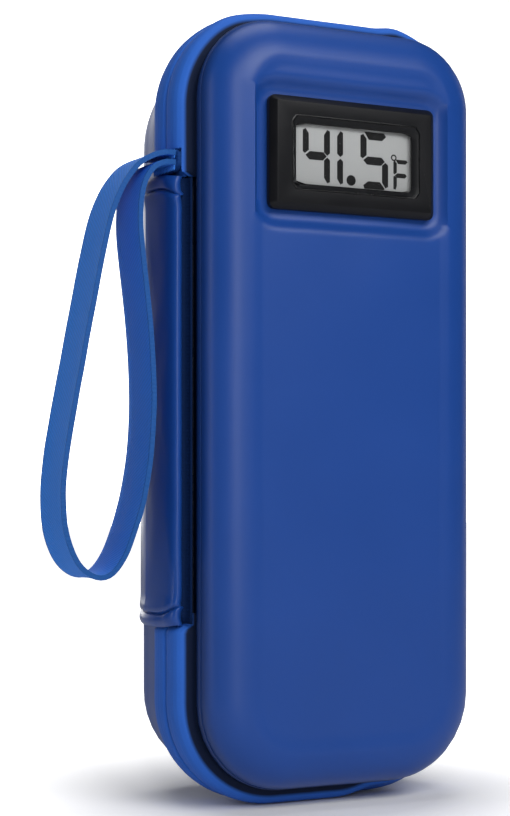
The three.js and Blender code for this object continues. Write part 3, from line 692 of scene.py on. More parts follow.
# The camera's place in the case's millimetres and its turn to the right in degrees; its focal
# length and its frame's shift are in pixels of a picture of that height
CAMERA_PLACE, CAMERA_TURN = (-235.4, -440.8, 82.6), 28.1
FOCAL_PIXELS, SHIFT_PIXELS, PICTURE_HEIGHT = 1885.3, (-59.4, 76), 816


def place_camera(context):
    """The camera stands to the left of the case and looks level; its frame is shifted."""
    camera = bpy.data.objects.new("camera", bpy.data.cameras.new("camera"))
    context.collection.objects.link(camera)
    camera.location = at(*CAMERA_PLACE)
    camera.rotation_euler = (math.radians(90), 0, math.radians(-CAMERA_TURN))
    camera.data.lens = FOCAL_PIXELS * camera.data.sensor_width / PICTURE_HEIGHT
    camera.data.shift_x, camera.data.shift_y = (part / PICTURE_HEIGHT for part in SHIFT_PIXELS)
    context.scene.camera = camera


# Name, place, aim, width, height and watts of each softbox, in the case's millimetres
SOFTBOXES = [
    ("key_softbox", (120, -760, 620), (0, -20, 100), 620, 420, 5.6),
    ("camera_strip", (-350, -740, 330), (-30, -20, 130), 100, 600, 2.0),
    ("left_strip", (-752, 85, 150), (-40, 0, 110), 60, 700, 0.9),
    ("right_softbox", (640, 260, 200), (30, -10, 110), 120, 600, 0.2),
    ("top_softbox", (0, 60, 800), (0, 0, 100), 500, 400, 1.6)]


def place_lights():
    """A broad softbox at the right front, strips for the edge highlights, and one overhead."""
    for name, place, aim, width, height, watts in SOFTBOXES:
        light = bpy.data.lights.new(name, "AREA")
        light.shape = "RECTANGLE"
        light.size, light.size_y = width * MM, height * MM
        light.energy = watts
        holder = bpy.data.objects.new(name, light)
        bpy.context.collection.objects.link(holder)
        holder.location = at(*place)
        holder.rotation_euler = (at(*aim) - holder.location).to_track_quat("-Z", "Y").to_euler()
    bpy.context.scene.view_settings.view_transform = "Standard"


# The middle of the lit backdrop, seen from the case
BACKDROP_SIDE = (0.2, 0.98, 0.0)


def place_backdrop():
    """The studio's pale backdrop is lit behind the case, and is white where it is seen."""
    world = bpy.data.worlds.new("studio")
    bpy.context.scene.world = world
    world.use_nodes = True
    seen = add_node(world, "LightPath")["Is Camera Ray"]
    way = add_node(world, "TexCoord")["Generated"]
    behind = add_node(
        world, "VectorMath", {0: way, 1: BACKDROP_SIDE}, operation="DOT_PRODUCT")["Value"]
    glow = add_node(world, "MapRange", value=behind, from_min=0.82, from_max=1.0, to_min=0.05,
                    to_max=2.6, interpolation_type="SMOOTHSTEP")[0]
    strength = add_node(world, "Math", {0: seen, 1: glow}, operation="MAXIMUM")[0]
    shader = world.node_tree.nodes["Background"]
    shader.inputs["Color"].default_value = (1, 1, 1, 1)
    world.node_tree.links.new(strength, shader.inputs["Strength"])


# The card's side and how far it lies below the base, and the distances from the case's middle
# between which its shadow fades to white, all in metres
CARD_SIDE, CARD_DROP, SHADOW_FADE = 6, 0.0002, (0.035, 0.11)


def place_floor():
    """A sheet of pale card under the case, lifted to white for the camera but for its shadow."""
    clear_selection()
    bpy.ops.mesh.primitive_plane_add(size=CARD_SIDE, location=(0, 0, -CARD_DROP))
    floor = added("studio_floor")
    card, place = surface("Pale studio card", tint("backdrop"), 0.9, emission_color=(1, 1, 1, 1))
    seen = add_node(card, "LightPath")["Is Camera Ray"]
    away = add_node(card, "VectorMath", {0: place}, operation="LENGTH")["Value"]
    lift = add_node(card, "MapRange", value=away, from_min=SHADOW_FADE[0],
                    from_max=SHADOW_FADE[1])[0]
    shown = add_node(card, "Math", {0: seen, 1: lift}, operation="MULTIPLY")[0]
    floor.data.materials.append(feed(card, emission_strength=shown))


# The lead's route from the thermometer's underside to the probe, and the feet of the probe and
# the grommet
LEAD_ROUTE = [
    (-15.07, -11.2, 152.3), (-15.07, -11.2, 149.6), (-15.07, -11.6, 145.6), (-14.47, -12.2, 140.6),
    (-13.47, -12.5, 135.6), (-13.07, -12.5, 130.6), (-13.47, -12.5, 124.6), (-15.07, -13.2, 120.6),
    (-15.07, -13.2, 118.3)]
LEAD_THICKNESS = 2
PROBE_FOOT, GROMMET_FOOT = (-15.07, -13.2, 100), (-15.07, -11.2, 149.5)
# Turned forms as (radius, height above the foot)
PROBE_PROFILE = [
    (0, 0), (1.1, 0.1), (1.9, 0.6), (2.25, 1.6), (2.3, 3), (2.3, 12.6), (2.05, 12.9), (2.05, 13.4),
    (2.3, 13.7), (2.3, 16.6), (2.0, 17.4), (1.4, 17.9), (0, 18)]
GROMMET_PROFILE = [(1.0, 0), (1.25, 0), (1.4, 0.6), (1.7, 2.2), (2.1, 2.5), (2.1, 3.0), (1.0, 3.0)]


class ProbeOperator(bpy.types.Operator):
    """Temperature probe with its lead, and the elastic that holds it to the lid's lining"""
    bl_idname = "cooling_case.probe"
    bl_label = "Probe"

    def execute(self, context):
        tip = turned("probe_capsule", PROBE_PROFILE, at(*PROBE_FOOT))
        finish(tip, "lid", "black_rubber", soft_rubber("Epoxy-filled capsule", 0.35), "probe_tip")
        spots, total = smooth_line(LEAD_ROUTE, 1.0)
        path = [at(*spot) for spot in spots]
        lead = wire_piece("probe_cable", path, LEAD_THICKNESS / 2, 12)
        finish(lead, "lid", "black_rubber", soft_rubber("Soft PVC lead"), "probe_lead", angle=180)
        collar = turned("lead_grommet", GROMMET_PROFILE, at(*GROMMET_FOOT))
        finish(collar, "lid", "black_rubber", soft_rubber("Lead grommet"))
        rounded_solid("probe_clip", "probe_elastic", 0.25, "lid", "black_fabric",
                      oxford("Woven elastic", "elastic"), angle=40)
        return {"FINISHED"}


class LidSkinOperator(bpy.types.Operator):
    """Moulded skin of the lid, with the soft recess round the thermometer"""
    bl_idname = "cooling_case.lid_skin"
    bl_label = "Lid skin"

    def execute(self, context):
        depth = -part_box("front_shell")[0].y / MM + ZIP_PLANE / MM
        piece = moulded_skin("lid_skin", -1, depth, size("lid_edge"), size("lid_round"), sunk,
                             LID_SIDE, rounder=-3.5)
        open_for_module(piece, half_x=22.5, half_z=12.9, deepest=-14)
        modify(piece, "SOLIDIFY", thickness=size("wall") * MM, offset=-1)
        finish(piece, "lid", "eva_shell", coated_eva(rim_shade=True), "front_shell")
        return {"FINISHED"}


class RearSkinOperator(bpy.types.Operator):
    """Moulded skin of the deep rear half, with a plain face"""
    bl_idname = "cooling_case.rear_skin"
    bl_label = "Rear skin"

    def execute(self, context):
        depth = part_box("rear_shell")[1].y / MM - ZIP_PLANE / MM
        piece = moulded_skin("rear_skin", 1, depth, size("rear_edge"), size("rear_edge"), None,
                             REAR_SIDE, rounder=6)
        modify(piece, "SOLIDIFY", thickness=size("wall") * MM, offset=-1)
        finish(piece, "rear_half", "eva_shell", coated_eva("Coated EVA, rear half"), "rear_shell")
        return {"FINISHED"}


def grid_lines(half, step, fine_low=0.0, fine_high=0.0, fine_step=1.0):
    """Positions of a grid's lines from -half to half, closer together between two places."""
    lines = [-half]
    while lines[-1] < half - step * 0.51:
        inside = fine_low <= lines[-1] < fine_high
        lines.append(lines[-1] + (fine_step if inside else step))
    return lines[:-1] + [half] if lines[-1] > half - step * 0.5 else lines + [half]


def rounded(x, z, half_x, half_z, corner):
    """Bends a square grid's corner cells into a quarter disc."""
    s = (abs(x) - half_x + corner) / corner
    t = (abs(z) - half_z + corner) / corner
    if s <= 0 or t <= 0:
        return x, z
    angle = math.pi / 4 * min(s, t) / max(s, t)
    if t > s:
        angle = math.pi / 2 - angle
    reach = corner * max(s, t)
    return (math.copysign(half_x - corner + reach * math.cos(angle), x),
            math.copysign(half_z - corner + reach * math.sin(angle), z))


def sunk(x, z):
    """Depth of the recess at a point of the lid's face: a floor, a slope and a broad soft lip."""
    half_x, half_z, corner = 25.6, 15.9, 4.0
    flat, slope = 0.4, 4.6
    dx, dz = abs(x) - half_x + corner, abs(z + HALF_HEIGHT - MODULE_Z) - half_z + corner
    away = math.hypot(max(dx, 0), max(dz, 0)) + min(max(dx, dz), 0) - corner
    return size("recess_depth") * (1 - ease((away + flat) / slope))


# The sides of the shells below their rounded edge, as (depth, distance in from the rim's line):
# they curl in to the flange behind the zip tape
LID_SIDE = [
    (12.0, 1.0), (11.4, 0.82), (10.8, 0.75), (10.2, 0.8), (9.7, 0.98), (9.25, 1.3), (8.85, 1.75),
    (8.5, 2.35), (8.2, 2.6), (4.4, 2.6)]
REAR_SIDE = [
    (20.3, 0.95), (17.6, 0.6), (14.9, 0.3), (12.2, 0.12), (9.6, 0.15), (9.0, 0.1), (8.6, 0.2),
    (8.35, 0.45), (8.25, 0.8), (8.0, 0.9), (4.4, 0.9)]
LINING_SIDE = [(9.0, 0.3), (5.0, 0.15), (3.0, 0.05), (1.6, 0.0), (0.9, 0.1)]
# How far a face's middle stands out, the rows in its rounded edge, and the depth up to which its
# corners stay the band's own
SWELL, EDGE_ROWS, FLANGE_DEPTH = 0.5, 12, 8
# The spacing of a face's grid across and up, and up within a reach of the thermometer's middle
GRID_ACROSS, GRID_UP, GRID_FINE, FINE_REACH = 1.3, 2.6, 0.8, 24


def moulded_skin(name, side, depth, edge, width, hollow, profile, rim=None, draft=None,
                 rounder=0.0):
    """One half's skin: a face with softly swollen middle, a rounded edge, a drafted wall and a
    rolled rim. Away from the rim its upper corners may be rounder, or squarer, than the band's."""
    band = size("band_corner")
    rim = size("rim_inset") if rim is None else rim
    draft = size("draft") if draft is None else draft
    inset = rim + draft + width
    half_x, half_z = HALF_WIDTH - inset, HALF_HEIGHT - inset
    xs, zs = grid_lines(half_x, GRID_ACROSS), grid_lines(half_z, GRID_UP)
    if hollow:
        module = MODULE_Z - HALF_HEIGHT
        zs = grid_lines(half_z, GRID_UP, module - FINE_REACH, module + FINE_REACH, GRID_FINE)

    def place(i, j):
        corner = band - inset + (rounder if zs[j] > 0 else 0)
        x, z = rounded(xs[i], zs[j], half_x, half_z, corner)
        swell = SWELL * (1 - (x / half_x) ** 2) * (1 - (z / half_z) ** 4)
        wave = 0.12 * noise.noise((x / 22, z / 30, side * 3.7)) * (1 - (x / half_x) ** 2)
        y = depth + swell + wave - (hollow(x, z) if hollow else 0) - SWELL
        return at(x, side * y, z + HALF_HEIGHT)

    piece = laid_grid(name, len(xs) - 1, len(zs) - 1, place)
    levels = []
    for step in range(1, EDGE_ROWS + 1):
        angle = math.pi / 2 * (1 - step / EDGE_ROWS)
        levels.append((depth - SWELL * step / EDGE_ROWS - edge * (1 - math.sin(angle)),
                       rim + draft + width * (1 - math.cos(angle))))
    levels += [(y, rim + further) for y, further in profile]
    edit(piece, "EDGE")
    bpy.ops.mesh.select_non_manifold(
        extend=False, use_wire=False, use_boundary=True, use_multi_face=False,
        use_non_contiguous=False, use_verts=False)
    for y, level_inset in levels:
        grown = rounder * held((y - FLANGE_DEPTH) / (depth - edge - FLANGE_DEPTH))
        bpy.ops.mesh.extrude_region_move()
        mesh = bmesh.from_edit_mesh(piece.data)
        for vertex in (v for v in mesh.verts if v.select):
            x, z = vertex.co.x / MM, vertex.co.z / MM - HALF_HEIGHT
            radius = band + (grown if z > 0 else 0)
            core_x, core_z = HALF_WIDTH - radius, HALF_HEIGHT - radius
            core = Vector((max(-core_x, min(core_x, x)), max(-core_z, min(core_z, z))))
            out = (Vector((x, z)) - core).normalized()
            spot = core + (radius - level_inset) * out
            vertex.co = at(spot.x, side * y, spot.y + HALF_HEIGHT)
        bmesh.update_edit_mesh(piece.data)
    bpy.ops.mesh.select_all(action="SELECT")
    bpy.ops.mesh.normals_make_consistent(inside=False)
    done()
    point_away(piece, at(0, 0, HALF_HEIGHT))
    return piece


def point_away(piece, middle):
    """Turns a sheet's faces so that they look away from a point."""
    total = sum((face.center - middle).dot(face.normal) * face.area for face in piece.data.polygons)
    if total < 0:
        edit(piece, whole=True)
        bpy.ops.mesh.flip_normals()
        done()


def open_for_module(piece, half_x, half_z, deepest):
    """Cuts the opening for the thermometer's body out of a sheet in the lid."""
    edit(piece)
    pick(piece, "faces", lambda face: (
        abs(face.calc_center_median().x) < half_x * MM
        and abs(face.calc_center_median().z - MODULE_Z * MM) < half_z * MM
        and face.calc_center_median().y < at(0, deepest, 0).y))
    bpy.ops.mesh.delete(type="FACE")
    done()


class ZipTapesOperator(bpy.types.Operator):
    """Padded zip tapes round the band, folded over at the zip's line"""
    bl_idname = "cooling_case.zip_tapes"
    bl_label = "Zip tapes"

    def execute(self, context):
        cloth = woven_tape()
        for side, node, body in ((1, "rear_tape", "rear_half"), (-1, "front_tape", "lid")):
            finish(zip_tape(side, node + "_cloth"), body, "zip_tape", cloth, node)
        return {"FINISHED"}


# The tape's section as (inset, distance from the zip's line), from its folded inner edge outwards
TAPE_SECTION = [
    (1.5, 1.3), (1.35, 0.75), (0.95, 0.55), (0.5, 0.62), (0.2, 0.9), (0.06, 1.4), (0.0, 2.2),
    (-0.05, 3.3), (0.0, 4.4), (0.12, 5.4), (0.38, 6.3), (0.8, 7.05), (1.4, 7.6), (2.2, 7.9),
    (3.1, 8.02), (3.85, 8.0), (5.0, 7.95), (6.2, 7.9)]


# Where the rear and the front tape start along the band, and how far before its end both stop
REAR_START, FRONT_START, TAPE_STOP = 56.0, 57.6, 52.5
# Where the tape comes out from under the cover's upper hem, and how far before its own end it goes
# in under the lower one
HEM_TOP, HEM_BOTTOM = 63.6, 4.3


def zip_tape(side, name):
    """One tape, laid along the band from the top of the spine cover to its bottom. The front
    tape is drawn in where it lies behind the lid's right corners."""
    start, end = (REAR_START if side > 0 else FRONT_START), band_length() - TAPE_STOP
    rows = round(end - start)
    runs = running_lengths(TAPE_SECTION)

    def place(i, j):
        along = start + (end - start) * j / rows
        inset, out = TAPE_SECTION[i]
        pucker = 0.05 * noise.noise((along / 5, side * 9.1, inset)) * min(out / 3, 1)
        upper = HEM_TOP if out < 7.3 else FRONT_START
        tucked = max(1 - ease((along - upper) / 1.2), ease((along - end + HEM_BOTTOM) / 0.9))
        inset += 2.5 * tucked
        out -= 0.9 * tucked * (out > 7)
        if side > 0:
            out *= 1 + 0.2 * (out / 8) ** 2
        spot = band_point(along, inset + pucker)
        if side < 0:
            above = ease((spot.x + 32) / 14) * ease((22 - spot.x) / 8) * (spot.y > HALF_HEIGHT)
            below = ease((spot.x - 2) / 16) * ease((28 - spot.y) / 16)
            share = min(out / 5, 1) * held((6.2 - inset) / 3)
            spot = band_point(along, inset + pucker + (0.9 * above + 2.4 * below) * share)
        return at(spot.x, side * out, spot.y)

    def spread(i, j):
        return runs[i] * MM, (start + (end - start) * j / rows) * MM

    piece = laid_grid(name, len(TAPE_SECTION) - 1, rows, place, spread)
    point_away(piece, at(0, 0, HALF_HEIGHT))
    return modify(piece, "SOLIDIFY", thickness=size("tape_cloth") * MM, offset=-1)


class CoilsOperator(bpy.types.Operator):
    """Nylon coils sewn behind the tapes, turn by turn"""
    bl_idname = "cooling_case.coils"
    bl_label = "Coils"

    def execute(self, context):
        wire = drawn_polymer("Nylon coil", "coil")
        start, end = COIL_START, band_length() - COIL_STOP
        runs = [("rear_coil", 1, "rear_half", start, end),
                ("front_coil_upper", -1, "lid", start, BAND_RIGHT - SLIDERS_REACH),
                ("front_coil_lower", -1, "lid", BAND_RIGHT + SLIDERS_REACH, end)]
        for node, side, body, low, high in runs:
            piece = coil(node + "_turns", side, low, high)
            finish(piece, body, "coil", wire, node, angle=180)
        return {"FINISHED"}


# Along the band: where the coils start, how far before its end they stop, the middle of its right
# side, and how far from there the two parked sliders reach
COIL_START, COIL_STOP, BAND_RIGHT, SLIDERS_REACH = 65.6, 56.5, 268.2, 10.6
# One turn of the coil as (inset from the band, distance from the zip's line, share of the pitch)
COIL_TURN = [
    (2.35, 1.45, 0.0), (2.2, 0.95, 0.12), (2.45, 0.55, 0.25), (3.05, 0.55, 0.38), (3.5, 1.05, 0.5),
    (3.55, 2.15, 0.62), (3.3, 2.9, 0.75), (2.6, 2.9, 0.88)]


def coil(name, side, low, high):
    """A flattened helix of monofilament whose noses stand towards the other tape, with the turns
    of the two tapes offset by half a pitch."""
    pitch = size("coil_pitch")
    points = []
    for turn in range(int((high - low) / pitch)):
        for inset, out, share in COIL_TURN:
            along = low + (turn + share + side * 0.25) * pitch
            spot = band_point(min(max(along, low), high), inset)
            points.append(at(spot.x, side * out, spot.y))
    return wire_piece(name, points, size("coil_wire") / 2, 5)


def wire_piece(name, points, radius, sides):
    """A round wire or thread through the points, as a mesh."""
    clear_selection()
    bpy.ops.curve.primitive_nurbs_path_add()
    piece = added(name)
    curve = piece.data
    curve.splines.clear()
    spline = curve.splines.new("POLY")
    spline.points.add(len(points) - 1)
    spline.points.foreach_set("co", [part for point in points for part in (*point, 1)])
    curve.bevel_depth = radius * MM
    curve.bevel_resolution = max(sides // 2 - 2, 0)
    curve.use_fill_caps = True
    curve.dimensions = "3D"
    bpy.ops.object.convert(target="MESH")
    return added(name)


class SpineOperator(bpy.types.Operator):
    """Spine cover: the coated strip that joins the halves and laps the rear shell"""
    bl_idname = "cooling_case.spine"
    bl_label = "Spine cover"

    def execute(self, context):
        eva = coated_eva("Coated EVA, spine", gloss=0.08)
        panel = spine_sheet("spine_cover", SPINE_PANEL)
        finish(panel, "spine", "eva_shell", eva, "spine_panel", angle=60)
        flap = spine_sheet("spine_cover_flap", SPINE_FLAP)
        finish(flap, "rear_half", "eva_shell", eva, "spine_flap", angle=60)
        # The gussets get the tape's colour at a tenth of its brightness: painted shade, as they lie
        # in the dark crevices by the hinges
        cloth = oxford("Gusset cloth", "tape", 0.9, 0.1)
        middle = MODULE_Z - 60
        for name, section, body, other, begin, end in (
                ("lid_gusset", LID_GUSSET, "spine", "lid", (-42.4, -6.2), (-40.4, -8.2)),
                ("rear_gusset", REAR_GUSSET, "rear_half", "spine", (-44.3, 9.6), (-44.3, 6.9))):
            bend = (at(*place, middle) for place in (begin, end))
            finish(gusset(name, section), (body, other, *bend), "zip_tape", cloth, angle=180)
        return {"FINISHED"}


# The sections of the cloth strips that bridge the cover's two hinges, like SPINE_PANEL
LID_GUSSET = [
    (43.2, -5.2), (42.6, -6.0), (42.0, -6.3), (41.3, -6.35), (40.7, -6.5), (40.3, -6.9),
    (40.0, -7.5), (39.9, -8.2), (40.0, -8.9)]
REAR_GUSSET = [
    (44.1, 5.6), (44.0, 6.4), (43.9, 7.2), (43.8, 8.15), (43.7, 9.1), (43.5, 10), (43.2, 10.9)]


def gusset(name, section):
    """A strip of cloth along the cover, inside its hems."""
    low, high = (corner.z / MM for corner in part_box("spine_panel"))
    rows, inset = 40, 1.2

    def place(i, j):
        return at(-section[i][0], section[i][1], low + inset + (high - low - 2 * inset) * j / rows)

    return cover_sheet(laid_grid(name, len(section) - 1, rows, place), 0.5)


def cover_sheet(piece, thickness):
    """A sheet of the cover, turned away from the case and given its thickness inwards."""
    point_away(piece, at(0, 4, HALF_HEIGHT))
    return modify(piece, "SOLIDIFY", thickness=thickness * MM, offset=-1)


# The cover's section as (distance out from the middle, depth behind the zip's line)
SPINE_PANEL = [
    (40.8, -5.2), (41.3, -6.5), (41.9, -7.25), (42.6, -7.55), (43.3, -7.2), (43.8, -6.5),
    (44.15, -5.5), (44.4, -4.3), (44.55, -2.9), (44.7, -1.1), (44.85, 0.9), (44.95, 2.8),
    (45.0, 4.6), (45.0, 6.4), (44.95, 8.15)]
SPINE_FLAP = [
    (44.95, 8.15), (44.75, 9.6), (44.35, 11.2), (43.8, 12.9), (43.3, 14.6), (42.75, 16.3),
    (42.1, 18.1), (41.4, 19.9), (40.7, 21.6), (40.05, 23.0), (39.6, 23.8), (39.1, 24.1)]


def spine_sheet(name, section):
    """A strip of the cover with its stitched hems, gathered where they are sewn down."""
    low, high = (corner.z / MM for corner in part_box("spine_panel"))
    hem = size("hem")
    fine, coarse, gathered = 0.22, 1.1, 2.5
    levels = [0.0]
    while levels[-1] < (high - low) / 2:
        levels.append(levels[-1] + (fine if levels[-1] < hem + gathered else coarse))
    levels = levels[:-1] + [(high - low) / 2]
    heights = [low + level for level in levels] + [high - level for level in levels[-2::-1]]

    def place(i, j):
        out, deep = section[i]
        z = heights[j]
        edge = min(z - low, high - z)
        above = max(edge - hem, 0)
        groove = 0.75 * bell(edge, hem, 0.32) + 0.35 * bell(edge, 0, 0.5)
        plump = 0.3 * bell(edge, hem / 2, 1.1) + 0.35 * bell(above, 1.6, 1.5)
        pucker = noise.noise((deep / 3.1, z / 12, 8.1)) * math.exp(-above / 6)
        ripple = 0.14 * noise.noise((deep / 5, z / 11, 2.2)) + 0.22 * pucker
        lift = (plump - groove + ripple) * held((out - 39.8) / 2)
        drawn = held((2 - deep) / 9.7) ** 2
        rise = drawn * (1.0 + 1.45 * min(edge / hem, 1)) * math.exp(-above / 5)
        return at(-(out + lift), deep, z + (rise if z - low < high - z else -rise))

    return cover_sheet(laid_grid(name, len(section) - 1, len(heights) - 1, place), 1.1)


class StrapOperator(bpy.types.Operator):
    """Wrist strap of twill webbing with its stitched root"""
    bl_idname = "cooling_case.strap"
    bl_label = "Wrist strap"

    def execute(self, context):
        cloth = twill_webbing()
        finish(strap(), "strap", "webbing", cloth, "wrist_strap", angle=50)
        # The root is the tape's colour at three tenths of its brightness: painted shade, where the
        # cover's corner, the strap's root and the lid's edge meet in deep shade
        finish(strap_root(), "spine", "webbing", oxford("Root webbing", "tape", 0.9, 0.3),
               "strap_anchor", angle=50)
        finish(root_seams(), "spine", "webbing", drawn_polymer("Bonded thread", "strap", 1.1, 0.6))
        return {"FINISHED"}


# Half the strap's width, and its middle line from its upper root to its lower one as (distance
# out, height)
STRAP_HALF = 7.5
STRAP_LINE = [
    (42.8, 165.9), (45.2, 165.8), (47.6, 165.3), (50.2, 164.2), (52.8, 162.5), (55.3, 159.7),
    (57.8, 155.7), (60.3, 149.5), (62.6, 140), (65.2, 127), (67.9, 113), (70.4, 100), (72.3, 88.5),
    (73, 79), (72.2, 70.5), (69.4, 63.6), (65.2, 60.1), (61, 60.3), (57.4, 64.4), (54.6, 71),
    (52, 79.5), (50.1, 91), (49.4, 105), (50.3, 122), (52.1, 138), (52.9, 146.4), (52.8, 152.5),
    (52.0, 157), (50.4, 160.4), (48.2, 162.5), (45.4, 163.4), (42.8, 163.5)]


def smooth_line(points, step):
    """Points at even distances on a smooth curve through the given ones."""
    fine = []
    ends = [points[0], *points, points[-1]]
    for a, b, c, d in zip(ends, ends[1:], ends[2:], ends[3:]):
        a, b, c, d = Vector(a), Vector(b), Vector(c), Vector(d)
        for k in range(12):
            t = k / 12
            fine.append(0.5 * (2 * b + (c - a) * t + (2 * a - 5 * b + 4 * c - d) * t * t
                               + (3 * b - a - 3 * c + d) * t * t * t))
    fine.append(Vector(points[-1]))
    lengths = [0.0]
    for first, second in zip(fine, fine[1:]):
        lengths.append(lengths[-1] + (second - first).length)
    count = round(lengths[-1] / step)
    spots, k = [], 0
    for n in range(count + 1):
        target = lengths[-1] * n / count
        while k < len(fine) - 2 and lengths[k + 1] < target:
            k += 1
        share = (target - lengths[k]) / max(lengths[k + 1] - lengths[k], 1e-9)
        spots.append(fine[k].lerp(fine[k + 1], min(share, 1)))
    return spots, lengths[-1]


def strap():
    """The webbing laid edge-on along its line, drawn in where its ends are sewn down."""
    spots, total = smooth_line(STRAP_LINE, 1.1)
    rows, columns = len(spots) - 1, 12

    def place(i, j):
        ahead = (spots[min(j + 1, rows)] - spots[max(j - 1, 0)]).normalized()
        side = Vector((-ahead.y, ahead.x))
        share = 2 * i / columns - 1
        free = math.sin(math.pi * j / rows) ** 0.5
        cup = 0.35 * (share * share - 0.4) * free
        wave = 0.1 * noise.noise((share * 1.5, j / 7, 5.0)) * free
        out, up = spots[j] + side * (cup + wave)
        end = min(j, rows - j) * total / rows
        return at(-out, share * (STRAP_HALF - 0.9 * bell(end, 0, 2.5)), up)

    piece = laid_grid("wrist_strap_webbing", columns, rows, place,
                      lambda i, j: (i / columns * 2 * STRAP_HALF * MM, total * j / rows * MM))
    return modify(piece, "SOLIDIFY", thickness=size("webbing") * MM, offset=0)


def strap_root():
    """The root that the two ends are sewn to, with its edges rounded."""
    low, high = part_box("strap_anchor")
    clear_selection()
    bpy.ops.mesh.primitive_cube_add(size=2)
    piece = added("strap_root")
    edit(piece, whole=True)
    bpy.ops.mesh.subdivide(number_cuts=9)
    done()
    middle, half = (low + high) / 2, (high - low) / 2
    for vertex in piece.data.vertices:
        spot = vertex.co.copy()
        for axis in range(3):
            others = max(abs(spot[other]) for other in range(3) if other != axis)
            vertex.co[axis] = middle[axis] + spot[axis] * (half[axis] - 0.4 * MM * others ** 6)
        vertex.co.z -= 1.1 * MM * spot.z * abs(spot.y) ** 5
    return piece


def root_seams():
    """Bar tacks that hold the strap's ends to the root."""
    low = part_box("strap_anchor")[0]
    face, base = low.x / MM - 0.02, low.z / MM
    return stitches("strap_tacks", [
        [(face, y, base + level), (face, y, base + level + 3.2)]
        for level in (0.4, 3.3) for y in [-6.3 + 0.9 * k for k in range(15)]], thread=0.4)


class BezelOperator(bpy.types.Operator):
    """Thermometer housing: bezel, window and body in one moulding"""
    bl_idname = "cooling_case.bezel"
    bl_label = "Thermometer housing"

    def execute(self, context):
        rounded_solid("module_housing", "bezel_moulding", 0.35, "lid", "black_abs", textured_abs(),
                      segments=3)
        return {"FINISHED"}


def rounded_solid(node, name, width, body, slot, material, segments=2, angle=35):
    """A copy of a CAD node with its triangles joined and its edges rounded, as its piece."""
    clear_selection()
    piece = frame["nodes"][node].copy()
    piece.data = piece.data.copy()
    bpy.context.collection.objects.link(piece)
    piece.parent = None
    piece.name = piece.data.name = name
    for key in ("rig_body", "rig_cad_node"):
        del piece[key]
    edit(piece, "VERT", whole=True)
    bpy.ops.mesh.remove_doubles(threshold=0.000005)
    bpy.ops.mesh.dissolve_limited(angle_limit=math.radians(1))
    done()
    modify(piece, "BEVEL", width=width * MM, segments=segments, angle_limit=math.radians(25),
           use_clamp_overlap=True)
    return finish(piece, body, slot, material, node, angle=angle)


class DisplayOperator(bpy.types.Operator):
    """Display behind its window: film and switched segments"""
    bl_idname = "cooling_case.display"
    bl_label = "Display"

    def execute(self, context):
        rounded_solid("lcd_panel", "display_panel", 0.15, "lid", "lcd_glass", display_film(),
                      angle=40)
        dress(acrylic(), "display_lens")
        finish(segments(), "lid", "lcd_glass",
               drawn_polymer("Switched display segments", "digits", 1.0, 0.9))
        finish(window_liner(), "lid", "black_abs",
               textured_abs("Gloss-black window reveal", "digits", 1.0, 0.25))
        return {"FINISHED"}


def window_liner():
    """The reveal between the bezel's face and the window, with a soft outer lip."""
    face = (MODULE[0].y - ZIP_PLANE) / MM - 0.02
    window = (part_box("display_lens")[0].y - ZIP_PLANE) / MM - 0.03
    # Rings from the outer lip to the window, as (half width, half height, corner, depth)
    rings = [(18.9, 9.7, 1.9, face + 0.12), (18.6, 9.4, 1.7, face - 0.05), (18.3, 9.1, 1.5, face),
             (17.3, 8.1, 1.0, window - 0.2), (16.78, 7.56, 0.8, window)]
    around, window_x = 64, 0.2

    def place(i, j):
        half_x, half_z, corner, deep = rings[i]
        angle = 2 * math.pi * j / around
        across, up = math.cos(angle), math.sin(angle)
        reach = min(half_x / max(abs(across), 1e-6), half_z / max(abs(up), 1e-6))
        x, z = rounded(reach * across, reach * up, half_x, half_z, corner)
        return at(x + window_x, deep, z + MODULE_Z)

    piece = laid_grid("window_reveal", len(rings) - 1, around, place)
    weld(piece)
    point_away(piece, at(0, 20, MODULE_Z))
    return modify(piece, "SOLIDIFY", thickness=0.12 * MM, offset=-1)


# Segments as outlines in shares of a digit, from its lower left corner
SEGMENT_BARS = {
    "a": ((0.14, 1.0), (0.84, 1.0), (0.93, 0.94), (0.78, 0.865), (0.3, 0.865)),
    "b": ((1.0, 0.94), (1.0, 0.56), (0.9, 0.515), (0.78, 0.57), (0.78, 0.87), (0.9, 0.965)),
    "c": ((1.0, 0.06), (1.0, 0.44), (0.9, 0.485), (0.78, 0.43), (0.78, 0.13), (0.9, 0.035)),
    "d": ((0.1, 0.06), (0.28, 0.135), (0.7, 0.135), (0.88, 0.02), (0.84, 0.0), (0.14, 0.0)),
    "e": ((0.0, 0.07), (0.0, 0.46), (0.1, 0.49), (0.22, 0.43), (0.22, 0.17), (0.14, 0.05)),
    "f": ((0.0, 0.93), (0.0, 0.56), (0.08, 0.53), (0.22, 0.59), (0.22, 0.88), (0.1, 0.96)),
    "g": ((0.1, 0.5), (0.26, 0.57), (0.76, 0.57), (0.88, 0.5), (0.74, 0.425), (0.24, 0.425)),
}


# The bars of 4, 1, 5 and F, each with its lower left corner, width and height
DIGITS = [
    ("fgbc", -14.1, -7.3, 7.8, 14.6), ("bc", -10.3, -7.3, 7.8, 14.6),
    ("afgcd", 2.6, -7.3, 8.2, 14.6), ("afge", 12.4, -7.3, 4.6, 8.2)]
# The middles of the decimal point and the degree ring, and their radii
POINT, POINT_RADIUS = (-0.14, -5.5), 1.35
DEGREE, DEGREE_RADII = (12.5, 1.3), (0.5, 0.85)


